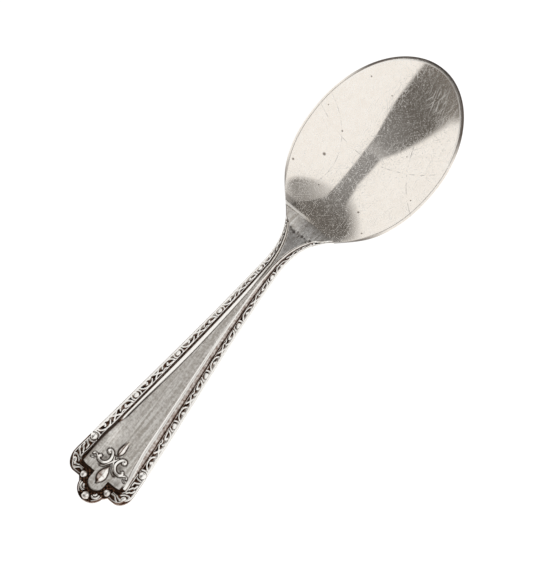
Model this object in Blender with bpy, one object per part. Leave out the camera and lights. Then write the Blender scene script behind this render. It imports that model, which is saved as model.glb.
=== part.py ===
"""A silver baby spoon: an oval bowl on a tapering handle with a lobed end and beaded scroll borders.

Blender 4.5, metres, +Z up. The spoon lies on a table at z = 0, front up, as it is put down: it rests on the
worn flat under its bowl and on the flat under its handle's end. +X runs along it towards the bowl's tip,
y = 0 is its plane of symmetry, and the origin is under the middle of its length.
Places along the spoon are stations, measured from the handle's end.
"""

import math

import bmesh
import bpy
from mathutils import Vector

MM = 0.001

# Seam left between neighbouring pieces, as thick as a film of silver solder
SEAM = 0.05 * MM

# Bowl, seen from above and from the side
BOWL_LENGTH = 42.0 * MM  # from the crease at the handle to the tip
BOWL_WIDTH = 29.7 * MM
BOWL_NOSE = 20.7 * MM  # from the widest place to the tip, inside the rim
BOWL_WALL = 1.0 * MM
RIM_HEIGHT = 7.5 * MM  # rim above the table, along the sides and at the tip
DEEPEST_FROM_TIP = 21.8 * MM  # inside the rim
REST_WEAR = 0.2 * MM  # metal worn off the underside, which leaves the flat it rests on
RIM_SWEEP = 9.0 * MM  # run over which the rim climbs to the handle
SECTION_POWER = 2.1  # roundness of the bowl's cross-section, 2 being a parabola

# Handle, seen from above
HANDLE_LENGTH = 70.3 * MM  # from its end to the crease at the bowl
SHOULDER_LENGTH = 11.8 * MM  # from the neck, its narrowest place, to the crease
SHOULDER_WIDTH = 12.4 * MM  # at the crease
SHOULDER_SLOPE = 0.96  # sideways run per run of length where the outline crosses the crease
WAIST_STATION = 10.5 * MM  # where the straight sides begin, behind the corner lobes
LOBE_RADIUS = 3.0 * MM  # middle lobe of the end
CORNER_STATION = 3.3 * MM  # end edge of the corner lobes
CORNER_RUN = 3.4 * MM  # size of the corner's round along the spoon
CORNER_RISE = 2.4 * MM  # and across it
CORNER_FLARE = 0.4 * MM  # how far the corner lobes stand out past the waist
TAPER_POWER = 1.5  # panel width against distance from the neck, 1 being straight
TAPER_SWELL = 0.3  # share of an S-curve in that taper, which keeps the waist full
MOULDING_POWER = 0.75  # the same for the mouldings beside it

# Bands that make up the handle's half width, from its middle outwards, at the waist, the neck and the heel
PANEL_WAIST, PANEL_NECK = 3.92 * MM, 0.22 * MM
THREAD_WAIST, THREAD_NECK, THREAD_HEEL = 0.88 * MM, 0.43 * MM, 0.32 * MM
GROOVE_WAIST, GROOVE_NECK, GROOVE_HEEL = 0.58 * MM, 0.22 * MM, 0.15 * MM
BORDER_WAIST, BORDER_NECK, BORDER_HEEL = 1.83 * MM, 1.05 * MM, 0.40 * MM
HEEL_FROM_CREASE = 3.0 * MM  # where threads and borders run out on the shoulders
EDGE_MARGIN = 0.08 * MM  # bare edge of the blank outside a border

# Handle, seen from the side
CREST_HEIGHT = 10.9 * MM  # ground of the front at its highest, above the table
CREST_FROM_CREASE = 6.2 * MM
CREASE_DROP = 1.9 * MM
END_FLAT = 3.6 * MM  # level stretch at the end, which rests on the table
END_THICKNESS = 1.45 * MM
NECK_THICKNESS = 2.5 * MM
CREASE_THICKNESS = 1.2 * MM
BACK_ROUND = 0.8 * MM  # how far the back is drawn in from the outline

# Relief above the ground of the front
PANEL_RISE = 0.28 * MM
PANEL_FEATHER = 0.12 * MM  # what is left of it where it runs out at the crease
THREAD_RISE = 0.55 * MM
BORDER_RISE = 0.70 * MM
BORDER_FLOOR = 0.20 * MM  # lowest hollow of the scroll relief
FLEUR_RISE = 0.45 * MM  # above the panel

# Raised panel's lobed end
END_GROOVE = 0.67 * MM  # between the panel and the border round the end
TONGUE_RADIUS = 1.25 * MM
PANEL_CORNER = 0.9 * MM

# Beads and the scroll border between them
END_BEAD_RADIUS = 0.82 * MM
NOTCH_BEAD_RADIUS = 0.72 * MM
SIDE_BEAD_RADIUS = 0.80 * MM
END_BEAD_INSET = 0.23 * MM  # bare edge outside the end bead
SIDE_BEAD_STATION = 11.1 * MM
BEAD_CENTRE_RISE = 0.30 * MM
SCROLL_PITCH = 11.4 * MM  # from one bead of the border to the next
LOBE_BORDER = 1.6 * MM  # width of the border round the middle lobe
CORNER_BORDER = 1.75 * MM  # and round the corner lobes

# Fleur on the panel
FLEUR_INSET = 1.7 * MM  # from the tongue's end to its drop
DROP_LENGTH, DROP_WIDTH = 4.25 * MM, 1.8 * MM
KNOT_GAP = 1.13 * MM  # from the drop's point to the middle of the knot
KNOT_WIDTH = 0.62 * MM
LEAF_GAP = 0.85 * MM  # from the middle of the knot to the leaf
LEAF_LENGTH, LEAF_WIDTH = 4.25 * MM, 1.3 * MM
SCROLL_GAP = 0.5 * MM  # from the fleur's middle to a C-scroll
SCROLL_RADIUS = 1.28 * MM  # to the middle of its stroke
SCROLL_STROKE = 0.55 * MM
HOOK_REACH = 0.95 * MM  # how far a C-scroll's hook stands out from its ring
ARM_STROKE = 0.26 * MM

# Derived places
LENGTH = HANDLE_LENGTH + BOWL_LENGTH
NECK_STATION = HANDLE_LENGTH - SHOULDER_LENGTH
CREST_STATION = HANDLE_LENGTH - CREST_FROM_CREASE
HEEL_STATION = HANDLE_LENGTH - HEEL_FROM_CREASE
CREASE_HEIGHT = CREST_HEIGHT - CREASE_DROP
SHOULDER_HALF = SHOULDER_WIDTH / 2
NECK_HALF = PANEL_NECK + THREAD_NECK + GROOVE_NECK + BORDER_NECK
WAIST_HALF = PANEL_WAIST + THREAD_WAIST + GROOVE_WAIST + BORDER_WAIST
CORNER_HALF = WAIST_HALF + CORNER_FLARE
KEEL_HEIGHT = BOWL_WALL - REST_WEAR
BOWL_DEPTH = RIM_HEIGHT - KEEL_HEIGHT
TIP_OVERHANG = BOWL_WALL * math.sin(math.atan(2 * BOWL_DEPTH / DEEPEST_FROM_TIP))
SIDE_OVERHANG = BOWL_WALL * math.sin(math.atan(2 * SECTION_POWER * BOWL_DEPTH / BOWL_WIDTH))
MOUTH_HALF = BOWL_WIDTH / 2 - SIDE_OVERHANG
TIP_STATION = LENGTH - TIP_OVERHANG  # inside the rim
WIDEST_STATION = TIP_STATION - BOWL_NOSE
DEEPEST_STATION = TIP_STATION - DEEPEST_FROM_TIP
END_BEAD_STATION = END_BEAD_INSET + END_BEAD_RADIUS
NOTCH_BEAD_STATION, NOTCH_BEAD_OFFSET = CORNER_STATION + NOTCH_BEAD_RADIUS, LOBE_RADIUS
TONGUE_STATION = END_BEAD_STATION + END_BEAD_RADIUS + END_GROOVE
PANEL_STATION = CORNER_STATION + EDGE_MARGIN + CORNER_BORDER + END_GROOVE
DROP_STATION = TONGUE_STATION + FLEUR_INSET
KNOT_STATION = DROP_STATION + DROP_LENGTH + KNOT_GAP
LEAF_STATION = KNOT_STATION + LEAF_GAP
SCROLL_OFFSET = SCROLL_GAP + SCROLL_STROKE / 2 + SCROLL_RADIUS

# Facets: how many steps the meshes take
HANDLE_STEPS = 34
BOWL_BACK_STEPS, BOWL_NOSE_STEPS, BOWL_ACROSS = 11, 13, 16
BEAD_SEGMENTS, BEAD_RINGS = 12, 8


def mix(low, high, share):
    """The value that lies this share of the way from low to high."""
    return low + (high - low) * share


def smooth(share):
    """An S-curve from 0 to 1 that is level at both ends."""
    share = min(max(share, 0.0), 1.0)
    return share * share * (3 - 2 * share)


# Shape of the handle: widths and heights at a station


def taper(station, power):
    """0 at the neck and 1 at the waist."""
    share = (NECK_STATION - station) / (NECK_STATION - WAIST_STATION)
    return max(share, 0.0) ** power


def band(station, waist, neck, heel):
    """Width of a moulding at a station, from waist to neck to heel."""
    if station <= NECK_STATION:
        return mix(neck, waist, taper(station, MOULDING_POWER))
    share = (station - NECK_STATION) / (HEEL_STATION - NECK_STATION)
    return mix(neck, heel, min(share, 1.0))


def border_width(station):
    return band(station, BORDER_WAIST, BORDER_NECK, BORDER_HEEL)


def groove_width(station):
    return band(station, GROOVE_WAIST, GROOVE_NECK, GROOVE_HEEL)


def thread_width(station):
    return band(station, THREAD_WAIST, THREAD_NECK, THREAD_HEEL)


def half_width(station):
    """Half the handle's width: its bands up to the neck, then the shoulders that spread to the bowl."""
    if station <= NECK_STATION:
        swell = smooth(taper(station, 1.0))
        fullness = mix(taper(station, TAPER_POWER), swell, TAPER_SWELL)
        panel = mix(PANEL_NECK, PANEL_WAIST, fullness)
        return panel + thread_width(station) + groove_width(station) + border_width(station)
    spread = SHOULDER_HALF - NECK_HALF
    power = SHOULDER_SLOPE * SHOULDER_LENGTH / spread
    return NECK_HALF + spread * ((station - NECK_STATION) / SHOULDER_LENGTH) ** power


def panel_half(station):
    """Half the raised panel's width, up to the foot of the threads."""
    return half_width(station) - border_width(station) - groove_width(station) - thread_width(station)


def ground(station):
    """Height of the front under the relief: level at the end, up to the crest, down to the crease."""
    if station <= CREST_STATION:
        climb = smooth((station - END_FLAT) / (CREST_STATION - END_FLAT))
        return mix(END_THICKNESS, CREST_HEIGHT, climb)
    share = (station - CREST_STATION) / CREST_FROM_CREASE
    return CREST_HEIGHT - CREASE_DROP * share * share


def panel_top(station):
    """Height of the raised panel, which thins over the shoulders."""
    fade = smooth((station - NECK_STATION) / SHOULDER_LENGTH)
    return ground(station) + mix(PANEL_RISE, PANEL_FEATHER, fade)


def thickness(station):
    """Thickness of the blank, which is greatest at the neck."""
    if station <= NECK_STATION:
        return mix(END_THICKNESS, NECK_THICKNESS, smooth((station - END_FLAT) / (NECK_STATION - END_FLAT)))
    return mix(NECK_THICKNESS, CREASE_THICKNESS, smooth((station - NECK_STATION) / SHOULDER_LENGTH))


# Meshes and objects


def place(station, offset, height):
    """A point of the spoon in world coordinates."""
    return Vector((station - LENGTH / 2, offset, height))


def silver(name, roughness):
    """Sterling silver, as polished or as dull as its roughness says."""
    material = bpy.data.materials.new(name)
    material.use_nodes = True
    shader = material.node_tree.nodes["Principled BSDF"]
    shader.inputs["Base Color"].default_value = (0.80, 0.77, 0.72, 1.0)
    shader.inputs["Metallic"].default_value = 1.0
    shader.inputs["Roughness"].default_value = roughness
    return material


def make_object(name, points, faces, material, sharp_degrees=40):
    """One named piece from a closed mesh, with its faces turned outwards."""
    mesh = bpy.data.meshes.new(name)
    mesh.from_pydata(points, [], faces)
    work = bmesh.new()
    work.from_mesh(mesh)
    bmesh.ops.remove_doubles(work, verts=work.verts, dist=1e-6)
    bmesh.ops.recalc_face_normals(work, faces=work.faces)
    work.to_mesh(mesh)
    work.free()
    mesh.shade_smooth()
    mesh.set_sharp_from_angle(angle=math.radians(sharp_degrees))
    mesh.materials.append(material)
    made = bpy.data.objects.new(name, mesh)
    bpy.context.scene.collection.objects.link(made)
    return made


def close_grids(front, back):
    """Points and faces of a solid between two grids of points with the same rows and columns."""
    rows, columns = len(front), len(front[0])
    points = [point for grid in (front, back) for row in grid for point in row]
    below = rows * columns

    def at(row, column):
        return row * columns + column

    faces = []
    for row in range(rows - 1):
        for column in range(columns - 1):
            loop = [at(row, column), at(row + 1, column), at(row + 1, column + 1), at(row, column + 1)]
            faces.append(loop)
            faces.append([below + corner for corner in reversed(loop)])
    rim = [at(row, 0) for row in range(rows)]
    rim += [at(rows - 1, column) for column in range(1, columns)]
    rim += [at(row, columns - 1) for row in range(rows - 2, -1, -1)]
    rim += [at(0, column) for column in range(columns - 2, 0, -1)]
    for here, there in zip(rim, rim[1:] + rim[:1]):
        faces.append([here, there, below + there, below + here])
    return points, faces


# Handle blank and its raised panel: grids whose first column follows a lobed end


def end_outline():
    """(station, offset) points of the handle's end, from its middle to where the waist begins."""
    lobe_steps, corner_steps = 5, 5
    points = []
    for step in range(lobe_steps + 1):
        turn = math.radians(80) * step / lobe_steps
        points.append((LOBE_RADIUS * (1 - math.cos(turn)), LOBE_RADIUS * math.sin(turn)))
    points.append((CORNER_STATION, LOBE_RADIUS + 0.3 * (CORNER_HALF - CORNER_RISE - LOBE_RADIUS)))
    for step in range(corner_steps + 1):
        turn = math.radians(90) * step / corner_steps
        station = CORNER_STATION + CORNER_RUN * (1 - math.cos(turn))
        points.append((station, CORNER_HALF - CORNER_RISE * (1 - math.sin(turn))))
    return points


def panel_outline():
    """(station, offset) points of the panel's end: a tongue in the middle lobe, and two rounded corners."""
    tongue_steps, corner_steps = 4, 3
    points = []
    for step in range(tongue_steps + 1):
        turn = math.radians(90) * step / tongue_steps
        station = TONGUE_STATION + TONGUE_RADIUS * (1 - math.cos(turn))
        points.append((station, TONGUE_RADIUS * math.sin(turn)))
    points.append((PANEL_STATION, TONGUE_RADIUS + SEAM))
    for step in range(corner_steps + 1):
        turn = math.radians(90) * step / corner_steps
        station = PANEL_STATION + PANEL_CORNER * (1 - math.cos(turn))
        points.append((station, PANEL_WAIST - PANEL_CORNER * (1 - math.sin(turn))))
    return points


def lobed_grid(outline, half, draw_in, height):
    """Rows of points across the handle, from its lobed end to the crease.

    half gives the half width at a station, draw_in how far the edge is moved inwards there, and height the
    surface. The first rows slide from the outline's stations to the waist, so that columns stay in order.
    """
    end_rows = 6
    columns = [(station, -offset) for station, offset in reversed(outline[1:])] + outline
    widest = outline[-1][1]
    grid = []
    for row in range(end_rows):
        share = row / end_rows
        edge = mix(widest, half(WAIST_STATION), share) - draw_in(0.0)
        line = []
        for station, offset in columns:
            here = mix(station + draw_in(0.0), WAIST_STATION, share)
            line.append(place(here, offset / widest * edge, height(here)))
        grid.append(line)
    last = HANDLE_LENGTH - SEAM / 2
    for step in range(HANDLE_STEPS + 1):
        here = mix(WAIST_STATION, last, step / HANDLE_STEPS)
        edge = half(here) - draw_in(here)
        grid.append([place(here, offset / widest * edge, height(here)) for _, offset in columns])
    return grid


def back_draw_in(station):
    """How far the back stops short of the outline. It meets the bowl's back at the crease."""
    return BACK_ROUND * smooth((HANDLE_LENGTH - station) / SHOULDER_LENGTH)


def make_handle(material):
    front = lobed_grid(end_outline(), half_width, lambda station: 0.0, ground)
    back = lobed_grid(end_outline(), half_width, back_draw_in, lambda here: ground(here) - thickness(here))
    make_object("handle", *close_grids(front, back), material)


def make_panel(material):
    def edge(station):
        return panel_half(station) - SEAM

    def foot(station):
        return ground(station) + SEAM

    outline = panel_outline()
    front = lobed_grid(outline, edge, lambda station: 0.0, panel_top)
    back = lobed_grid(outline, edge, lambda station: 0.0, foot)
    make_object("panel", *close_grids(front, back), material)


# Relief strips: a path on the front, a width along it, and a relief across it


def ease_between(before, start, end, after, share):
    """A value between start and end on a smooth curve that also heeds the values before and after them."""
    first = (end - before) / 2
    last = (after - start) / 2
    bend = (1 - share) * share * ((1 - share) * first - share * last)
    return mix(start, end, smooth(share)) + bend


def curve_through(points, steps):
    """Points of a smooth curve through a few (station, offset) points, evenly stepped between each two."""
    ends = [points[0], *points, points[-1]]
    curve = []
    for near in zip(ends, ends[1:], ends[2:], ends[3:]):
        for step in range(steps):
            stations = [station for station, _ in near]
            offsets = [offset for _, offset in near]
            curve.append((ease_between(*stations, step / steps), ease_between(*offsets, step / steps)))
    curve.append(points[-1])
    return curve


def mirrored(path):
    return [(station, -offset) for station, offset in path]


def make_strip(name, path, half, relief, across, seat, material):
    """A raised strip along a path of (station, offset) points.

    half(share) is its half width and relief(share, side) its height above seat(station), where share runs
    along the path from 0 to 1 and side across it from -1 to 1.
    """
    front, back = [], []
    for index, (station, offset) in enumerate(path):
        before = path[max(index - 1, 0)]
        after = path[min(index + 1, len(path) - 1)]
        along = Vector((after[0] - before[0], after[1] - before[1])).normalized()
        share = index / (len(path) - 1)
        top, foot = [], []
        for column in range(across + 1):
            side = 2 * column / across - 1
            reach = half(share) * side
            at = (station - along.y * reach, offset + along.x * reach)
            top.append(place(*at, seat(at[0]) + relief(share, side)))
            foot.append(place(*at, seat(at[0]) + SEAM))
        front.append(top)
        back.append(foot)
    make_object(name, *close_grids(front, back), material, sharp_degrees=60)


def round_top(rise, foot):
    """A half-round relief of this rise, standing on a foot of this height."""
    return lambda share, side: foot + (rise - foot) * math.sqrt(max(1 - side * side, 0.0))


def band_path(inner, width, first, last, steps):
    """Middle line of a band that lies outside inner(station), from one station to another."""
    stations = [mix(first, last, step / steps) for step in range(steps + 1)]
    return [(station, inner(station) + width(station) / 2) for station in stations]


def make_threads(material):
    """The two plain mouldings along the panel's edges."""
    steps = 36
    path = band_path(panel_half, thread_width, PANEL_STATION + PANEL_CORNER, HEEL_STATION, steps)

    def half(share):
        station = mix(path[0][0], path[-1][0], share)
        return thread_width(station) / 2 - SEAM / 2

    for name, line in (("left_thread", path), ("right_thread", mirrored(path))):
        make_strip(name, line, half, round_top(THREAD_RISE, PANEL_RISE), 5, ground, material)


def scroll_relief(run, side):
    """Relief of the scroll border, 0 to 1, at a distance along it from a bead and a place across it.

    Each unit runs from bead to bead. It holds two C-scrolls that open towards each other, a pair of crossed
    leaves between them, and a round bead at its ends.
    """
    place_in_unit = (run / SCROLL_PITCH) % 1.0
    near_bead = min(place_in_unit, 1 - place_in_unit) * SCROLL_PITCH / BORDER_WAIST
    bead = math.sqrt(max(1 - (2.2 * near_bead) ** 2 - side * side, 0.0))
    from_scroll = (abs(place_in_unit - 0.5) - 0.25) * SCROLL_PITCH / BORDER_WAIST
    reach = math.hypot(from_scroll / 1.15, side)
    scroll = math.exp(-(((reach - 0.68) / 0.3) ** 2))
    from_middle = abs(place_in_unit - 0.5) * SCROLL_PITCH / BORDER_WAIST
    leaf = max(1 - 1.4 * abs(from_middle - 0.35 * abs(side)), 0.0)
    return max(bead, scroll, leaf)


def bordered(height):
    """A border's height above the ground, for a relief of 0 to 1."""
    return mix(BORDER_FLOOR, BORDER_RISE, height)


def make_side_borders(material):
    """Running scroll borders along both sides, from the side beads to the shoulders."""
    steps = 110
    first = SIDE_BEAD_STATION + SIDE_BEAD_RADIUS + SEAM

    def inner(station):
        return half_width(station) - border_width(station)

    path = band_path(inner, border_width, first, HEEL_STATION, steps)

    def half(share):
        return border_width(mix(first, HEEL_STATION, share)) / 2 - EDGE_MARGIN

    def relief(share, side):
        run = mix(first, HEEL_STATION, share) - SIDE_BEAD_STATION
        return bordered(scroll_relief(run, side))

    for name, line in (("left_border", path), ("right_border", mirrored(path))):
        make_strip(name, line, half, relief, 5, ground, material)


def make_end_borders(material):
    """Four border pieces round the lobed end, between its five beads."""
    inset = LOBE_BORDER / 2 + EDGE_MARGIN
    round_lobe = LOBE_RADIUS - inset
    first_turn = math.asin((END_BEAD_RADIUS + LOBE_BORDER / 4) / round_lobe)
    lobe = []
    lobe_steps = 8
    for step in range(lobe_steps + 1):
        turn = mix(first_turn, math.radians(84), step / lobe_steps)
        lobe.append((LOBE_RADIUS - round_lobe * math.cos(turn), round_lobe * math.sin(turn)))
    middle = CORNER_BORDER / 2 + EDGE_MARGIN
    corner = curve_through(
        [
            (CORNER_STATION + middle, NOTCH_BEAD_OFFSET + NOTCH_BEAD_RADIUS + SEAM),
            (CORNER_STATION + middle, CORNER_HALF - CORNER_RISE),
            (CORNER_STATION + middle + 0.3 * CORNER_RUN, CORNER_HALF - middle - 0.25 * CORNER_RISE),
            (CORNER_STATION + CORNER_RUN, CORNER_HALF - middle),
            (SIDE_BEAD_STATION - SIDE_BEAD_RADIUS - SEAM, WAIST_HALF - middle),
        ],
        6,
    )

    def leafy(beats):
        def relief(share, side):
            wave = math.cos(2 * math.pi * (beats * share + 0.3 * side))
            return bordered((0.5 + 0.5 * wave) * math.sqrt(max(1 - 0.8 * side * side, 0.0)))

        return relief

    def lobe_half(share):
        return LOBE_BORDER / 2

    def corner_half(share):
        return CORNER_BORDER / 2 * mix(0.75, 1.0, smooth(2.5 * share))

    for side, turned in (("left", list), ("right", mirrored)):
        make_strip(f"{side}_lobe_border", turned(lobe), lobe_half, leafy(2), 5, ground, material)
        make_strip(f"{side}_corner_border", turned(corner), corner_half, leafy(4), 5, ground, material)


def make_bead(name, station, offset, radius, material):
    """A round bead, cut flat where it sits on the front."""
    work = bmesh.new()
    bmesh.ops.create_uvsphere(work, u_segments=BEAD_SEGMENTS, v_segments=BEAD_RINGS, radius=radius)
    floor = SEAM - BEAD_CENTRE_RISE
    everything = work.verts[:] + work.edges[:] + work.faces[:]
    level = Vector((0, 0, floor))
    bmesh.ops.bisect_plane(work, geom=everything, plane_co=level, plane_no=(0, 0, -1), clear_outer=True)
    bmesh.ops.holes_fill(work, edges=[edge for edge in work.edges if edge.is_boundary])
    mesh = bpy.data.meshes.new(name)
    work.to_mesh(mesh)
    work.free()
    mesh.shade_smooth()
    mesh.set_sharp_from_angle(angle=math.radians(60))
    mesh.materials.append(material)
    bead = bpy.data.objects.new(name, mesh)
    bpy.context.scene.collection.objects.link(bead)
    bead.location = place(station, offset, ground(station) + BEAD_CENTRE_RISE)
    slope = (ground(station + SEAM) - ground(station - SEAM)) / (2 * SEAM)
    bead.rotation_euler = (0, -math.atan(slope), 0)


def make_beads(material):
    make_bead("end_bead", END_BEAD_STATION, 0.0, END_BEAD_RADIUS, material)
    side_offset = half_width(SIDE_BEAD_STATION) - border_width(SIDE_BEAD_STATION) / 2
    for side, sign in (("left", 1), ("right", -1)):
        notch_place = (NOTCH_BEAD_STATION, sign * NOTCH_BEAD_OFFSET)
        make_bead(f"{side}_notch_bead", *notch_place, NOTCH_BEAD_RADIUS, material)
        make_bead(f"{side}_side_bead", SIDE_BEAD_STATION, sign * side_offset, SIDE_BEAD_RADIUS, material)


# Fleur on the panel


def make_petal(name, first, length, width, widest_at, material):
    """A lens-shaped petal with a ridge along its middle."""
    steps = 10
    path = [(first + length * step / steps, 0.0) for step in range(steps + 1)]

    def half(share):
        swell = share / widest_at if share < widest_at else (1 - share) / (1 - widest_at)
        return max(width / 2 * math.sin(math.pi / 2 * swell), ARM_STROKE / 4)

    def relief(share, side):
        return SEAM + FLEUR_RISE * (0.35 + 0.65 * (1 - abs(side)))

    make_strip(name, path, half, relief, 4, panel_top, material)


def make_fleur(material):
    """A lily of traditional form: a drop, a leaf, two C-scrolls and the knot that ties them."""
    make_petal("fleur_drop", DROP_STATION, DROP_LENGTH, DROP_WIDTH, 0.4, material)
    make_petal("fleur_leaf", LEAF_STATION, LEAF_LENGTH, LEAF_WIDTH, 0.45, material)
    rounded = round_top(FLEUR_RISE, 3 * SEAM)
    turns, opening, hook = 22, 38, 150
    ring = []
    for step in range(turns + 1):
        turn = math.radians(mix(opening, hook - 360, step / turns))
        station = KNOT_STATION + SCROLL_RADIUS * math.cos(turn)
        ring.append((station, SCROLL_OFFSET + SCROLL_RADIUS * math.sin(turn)))
    crown = SCROLL_OFFSET + SCROLL_RADIUS
    hook_path = [
        ring[-1],
        (KNOT_STATION - 0.55 * SCROLL_RADIUS, crown + 0.05 * HOOK_REACH),
        (KNOT_STATION - 0.40 * SCROLL_RADIUS, crown + 0.40 * HOOK_REACH),
        (KNOT_STATION - 0.75 * SCROLL_RADIUS, crown + 0.60 * HOOK_REACH),
    ]
    scroll = ring[:-1] + curve_through(hook_path, 4)

    def stroke(share):
        return SCROLL_STROKE / 2 * mix(1.0, 0.45, smooth(1.6 * share - 0.6))

    for side, turned in (("left", list), ("right", mirrored)):
        make_strip(f"fleur_{side}_scroll", turned(scroll), stroke, rounded, 4, panel_top, material)
    arm = [
        (KNOT_STATION - 1.95 * KNOT_GAP, SCROLL_GAP + 1.00 * SCROLL_RADIUS),
        (KNOT_STATION - 1.65 * KNOT_GAP, SCROLL_GAP + 0.48 * SCROLL_RADIUS),
        (KNOT_STATION - 0.90 * KNOT_GAP, SCROLL_GAP + 0.05 * SCROLL_RADIUS),
        (KNOT_STATION, 0.0),
    ]
    path = curve_through(arm + mirrored(arm[-2::-1]), 5)

    def tie(share):
        return mix(ARM_STROKE, KNOT_WIDTH, smooth(1 - abs(share - 0.5) / 0.12)) / 2

    make_strip("fleur_knot", path, tie, rounded, 4, panel_top, material)


# Bowl: sections across it from the crease to the tip


def bowl_half(station):
    """Half the bowl's width: a half ellipse at the nose, and behind it a curve into the shoulders."""
    if station >= WIDEST_STATION:
        share = min((station - WIDEST_STATION) / BOWL_NOSE, 1.0)
        return MOUTH_HALF * math.sqrt(1 - share * share)
    run = WIDEST_STATION - HANDLE_LENGTH
    share = (WIDEST_STATION - station) / run
    fall = mix(MOUTH_HALF, SHOULDER_HALF, smooth(share))
    return fall + SHOULDER_SLOPE * run * share * share * (1 - share)


def rim_height(station):
    climb = max(1 - (station - HANDLE_LENGTH) / RIM_SWEEP, 0.0)
    return mix(RIM_HEIGHT, CREASE_HEIGHT, climb * climb)


def keel_height(station):
    """Inside of the bowl along its middle, from the crease down to its deepest place and up to the tip."""
    if station <= DEEPEST_STATION:
        share = (DEEPEST_STATION - station) / (DEEPEST_STATION - HANDLE_LENGTH)
        return mix(KEEL_HEIGHT, CREASE_HEIGHT, share * share)
    share = (station - DEEPEST_STATION) / DEEPEST_FROM_TIP
    return mix(KEEL_HEIGHT, RIM_HEIGHT, share * share)


def bowl_inside(station, side):
    """A point of the bowl's inside, where side runs from -1 to 1 across it."""
    keel = keel_height(station)
    height = mix(keel, rim_height(station), abs(side) ** SECTION_POWER)
    return place(station, bowl_half(station) * side, height)


def bowl_outside(station, side):
    """The point of the bowl's back behind a point of its inside, worn flat where it meets the table."""
    step = 0.1 * MM
    ahead = min(station + step, TIP_STATION - step)
    along = bowl_inside(ahead, side) - bowl_inside(ahead - 2 * step, side)
    across = bowl_inside(station, min(side + 0.01, 1.0)) - bowl_inside(station, max(side - 0.01, -1.0))
    normal = along.cross(across).normalized()
    leaving = smooth((station - HANDLE_LENGTH) / RIM_SWEEP)
    wall = mix(CREASE_THICKNESS, BOWL_WALL, leaving)
    point = bowl_inside(station, side) - Vector((0, 0, 1)).lerp(normal, leaving).normalized() * wall
    point.z = max(point.z, 0.0)
    return point


def make_bowl(material):
    first = HANDLE_LENGTH + SEAM / 2
    stations = [mix(first, WIDEST_STATION, step / BOWL_BACK_STEPS) for step in range(BOWL_BACK_STEPS)]
    tip_turn = math.radians(88)
    for step in range(BOWL_NOSE_STEPS + 1):
        stations.append(WIDEST_STATION + BOWL_NOSE * math.sin(tip_turn * step / BOWL_NOSE_STEPS))
    sides = [2 * column / BOWL_ACROSS - 1 for column in range(BOWL_ACROSS + 1)]
    inside = [[bowl_inside(station, side) for side in sides] for station in stations]
    outside = [[bowl_outside(station, side) for side in sides] for station in stations]
    make_object("bowl", *close_grids(inside, outside), material)


def main():
    for old in list(bpy.data.objects):
        bpy.data.objects.remove(old, do_unlink=True)
    polished = silver("polished_silver", 0.10)
    satin = silver("satin_silver", 0.25)
    struck = silver("struck_silver", 0.30)
    make_bowl(polished)
    make_handle(satin)
    make_panel(satin)
    make_threads(polished)
    make_side_borders(struck)
    make_end_borders(struck)
    make_beads(struck)
    make_fleur(struck)


main()
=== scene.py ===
"""Looks of a silver baby spoon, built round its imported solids.

Places along the spoon are stations in millimetres from the handle's end, and offsets run across it, to the
left when it is held with the bowl ahead. Heights are above the table.
"""

import math

import bmesh
import bpy
import numpy as np
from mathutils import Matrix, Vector


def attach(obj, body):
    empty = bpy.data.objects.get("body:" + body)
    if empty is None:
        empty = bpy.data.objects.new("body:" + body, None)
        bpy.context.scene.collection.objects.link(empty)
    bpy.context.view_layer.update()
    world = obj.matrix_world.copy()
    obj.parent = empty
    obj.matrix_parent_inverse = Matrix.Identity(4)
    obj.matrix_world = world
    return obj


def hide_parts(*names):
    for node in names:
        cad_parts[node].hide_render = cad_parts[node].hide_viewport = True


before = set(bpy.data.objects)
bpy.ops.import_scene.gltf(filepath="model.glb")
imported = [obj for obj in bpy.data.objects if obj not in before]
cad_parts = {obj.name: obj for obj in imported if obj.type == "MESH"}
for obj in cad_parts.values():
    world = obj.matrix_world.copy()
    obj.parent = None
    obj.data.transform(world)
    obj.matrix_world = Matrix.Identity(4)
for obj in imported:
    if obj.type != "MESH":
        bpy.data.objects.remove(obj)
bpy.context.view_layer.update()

# Handle blank. A bar of sterling silver, rolled, cut to its lobed outline and tapered to a thick neck.
# Its front is the ground of the struck relief: it shows only at the foot of the grooves, where old polish and
# silver sulphide have gathered nearly black. Its back is domed and rubbed bright by hands.

MM = 0.001
SPOON_LENGTH = 112.3
HANDLE_LENGTH, SHOULDER_LENGTH, SHOULDER_HALF, SHOULDER_SLOPE = 70.3, 11.8, 6.2, 0.96
NECK, WAIST, HEEL, CREST = HANDLE_LENGTH - SHOULDER_LENGTH, 10.5, HANDLE_LENGTH - 3.0, HANDLE_LENGTH - 6.2
LOBE_RADIUS, CORNER_STATION, CORNER_RUN, CORNER_RISE, CORNER_FLARE = 3.0, 3.3, 3.4, 2.4, 0.4
PANEL_WAIST, PANEL_NECK = 3.92, 0.22
THREAD_WIDTHS, GROOVE_WIDTHS, BORDER_WIDTHS = (0.88, 0.43, 0.32), (0.58, 0.22, 0.15), (1.83, 1.05, 0.40)
END_THICKNESS, NECK_THICKNESS, CREASE_THICKNESS, END_FLAT = 1.45, 2.5, 1.2, 3.6
CREST_HEIGHT, CREASE_DROP, HEEL_LINE = 10.9, 1.9, 66.7
HEEL_STEP, EDGE_ROUND, EDGE_LEAST, DOME_ROUND, DOME_FALL = 0.5, 0.3, 0.42, 1.9, 1.0
SEAM = 0.05
WELD_DISTANCE, SHARP_EDGE = 1e-8, math.radians(50)


def mix(low, high, share):
    return low + (high - low) * share


def smooth(share):
    share = np.clip(share, 0.0, 1.0)
    return share * share * (3 - 2 * share)


def bump(share):
    return np.exp(-(share**2))


def arch(share, power=2):
    """A round arch, 1 high in the middle and down to 0 at 1."""
    return np.sqrt(np.maximum(1 - share**power, 0.0))


def taper(station, power):
    return np.maximum((NECK - station) / (NECK - WAIST), 0.0) ** power


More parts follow.
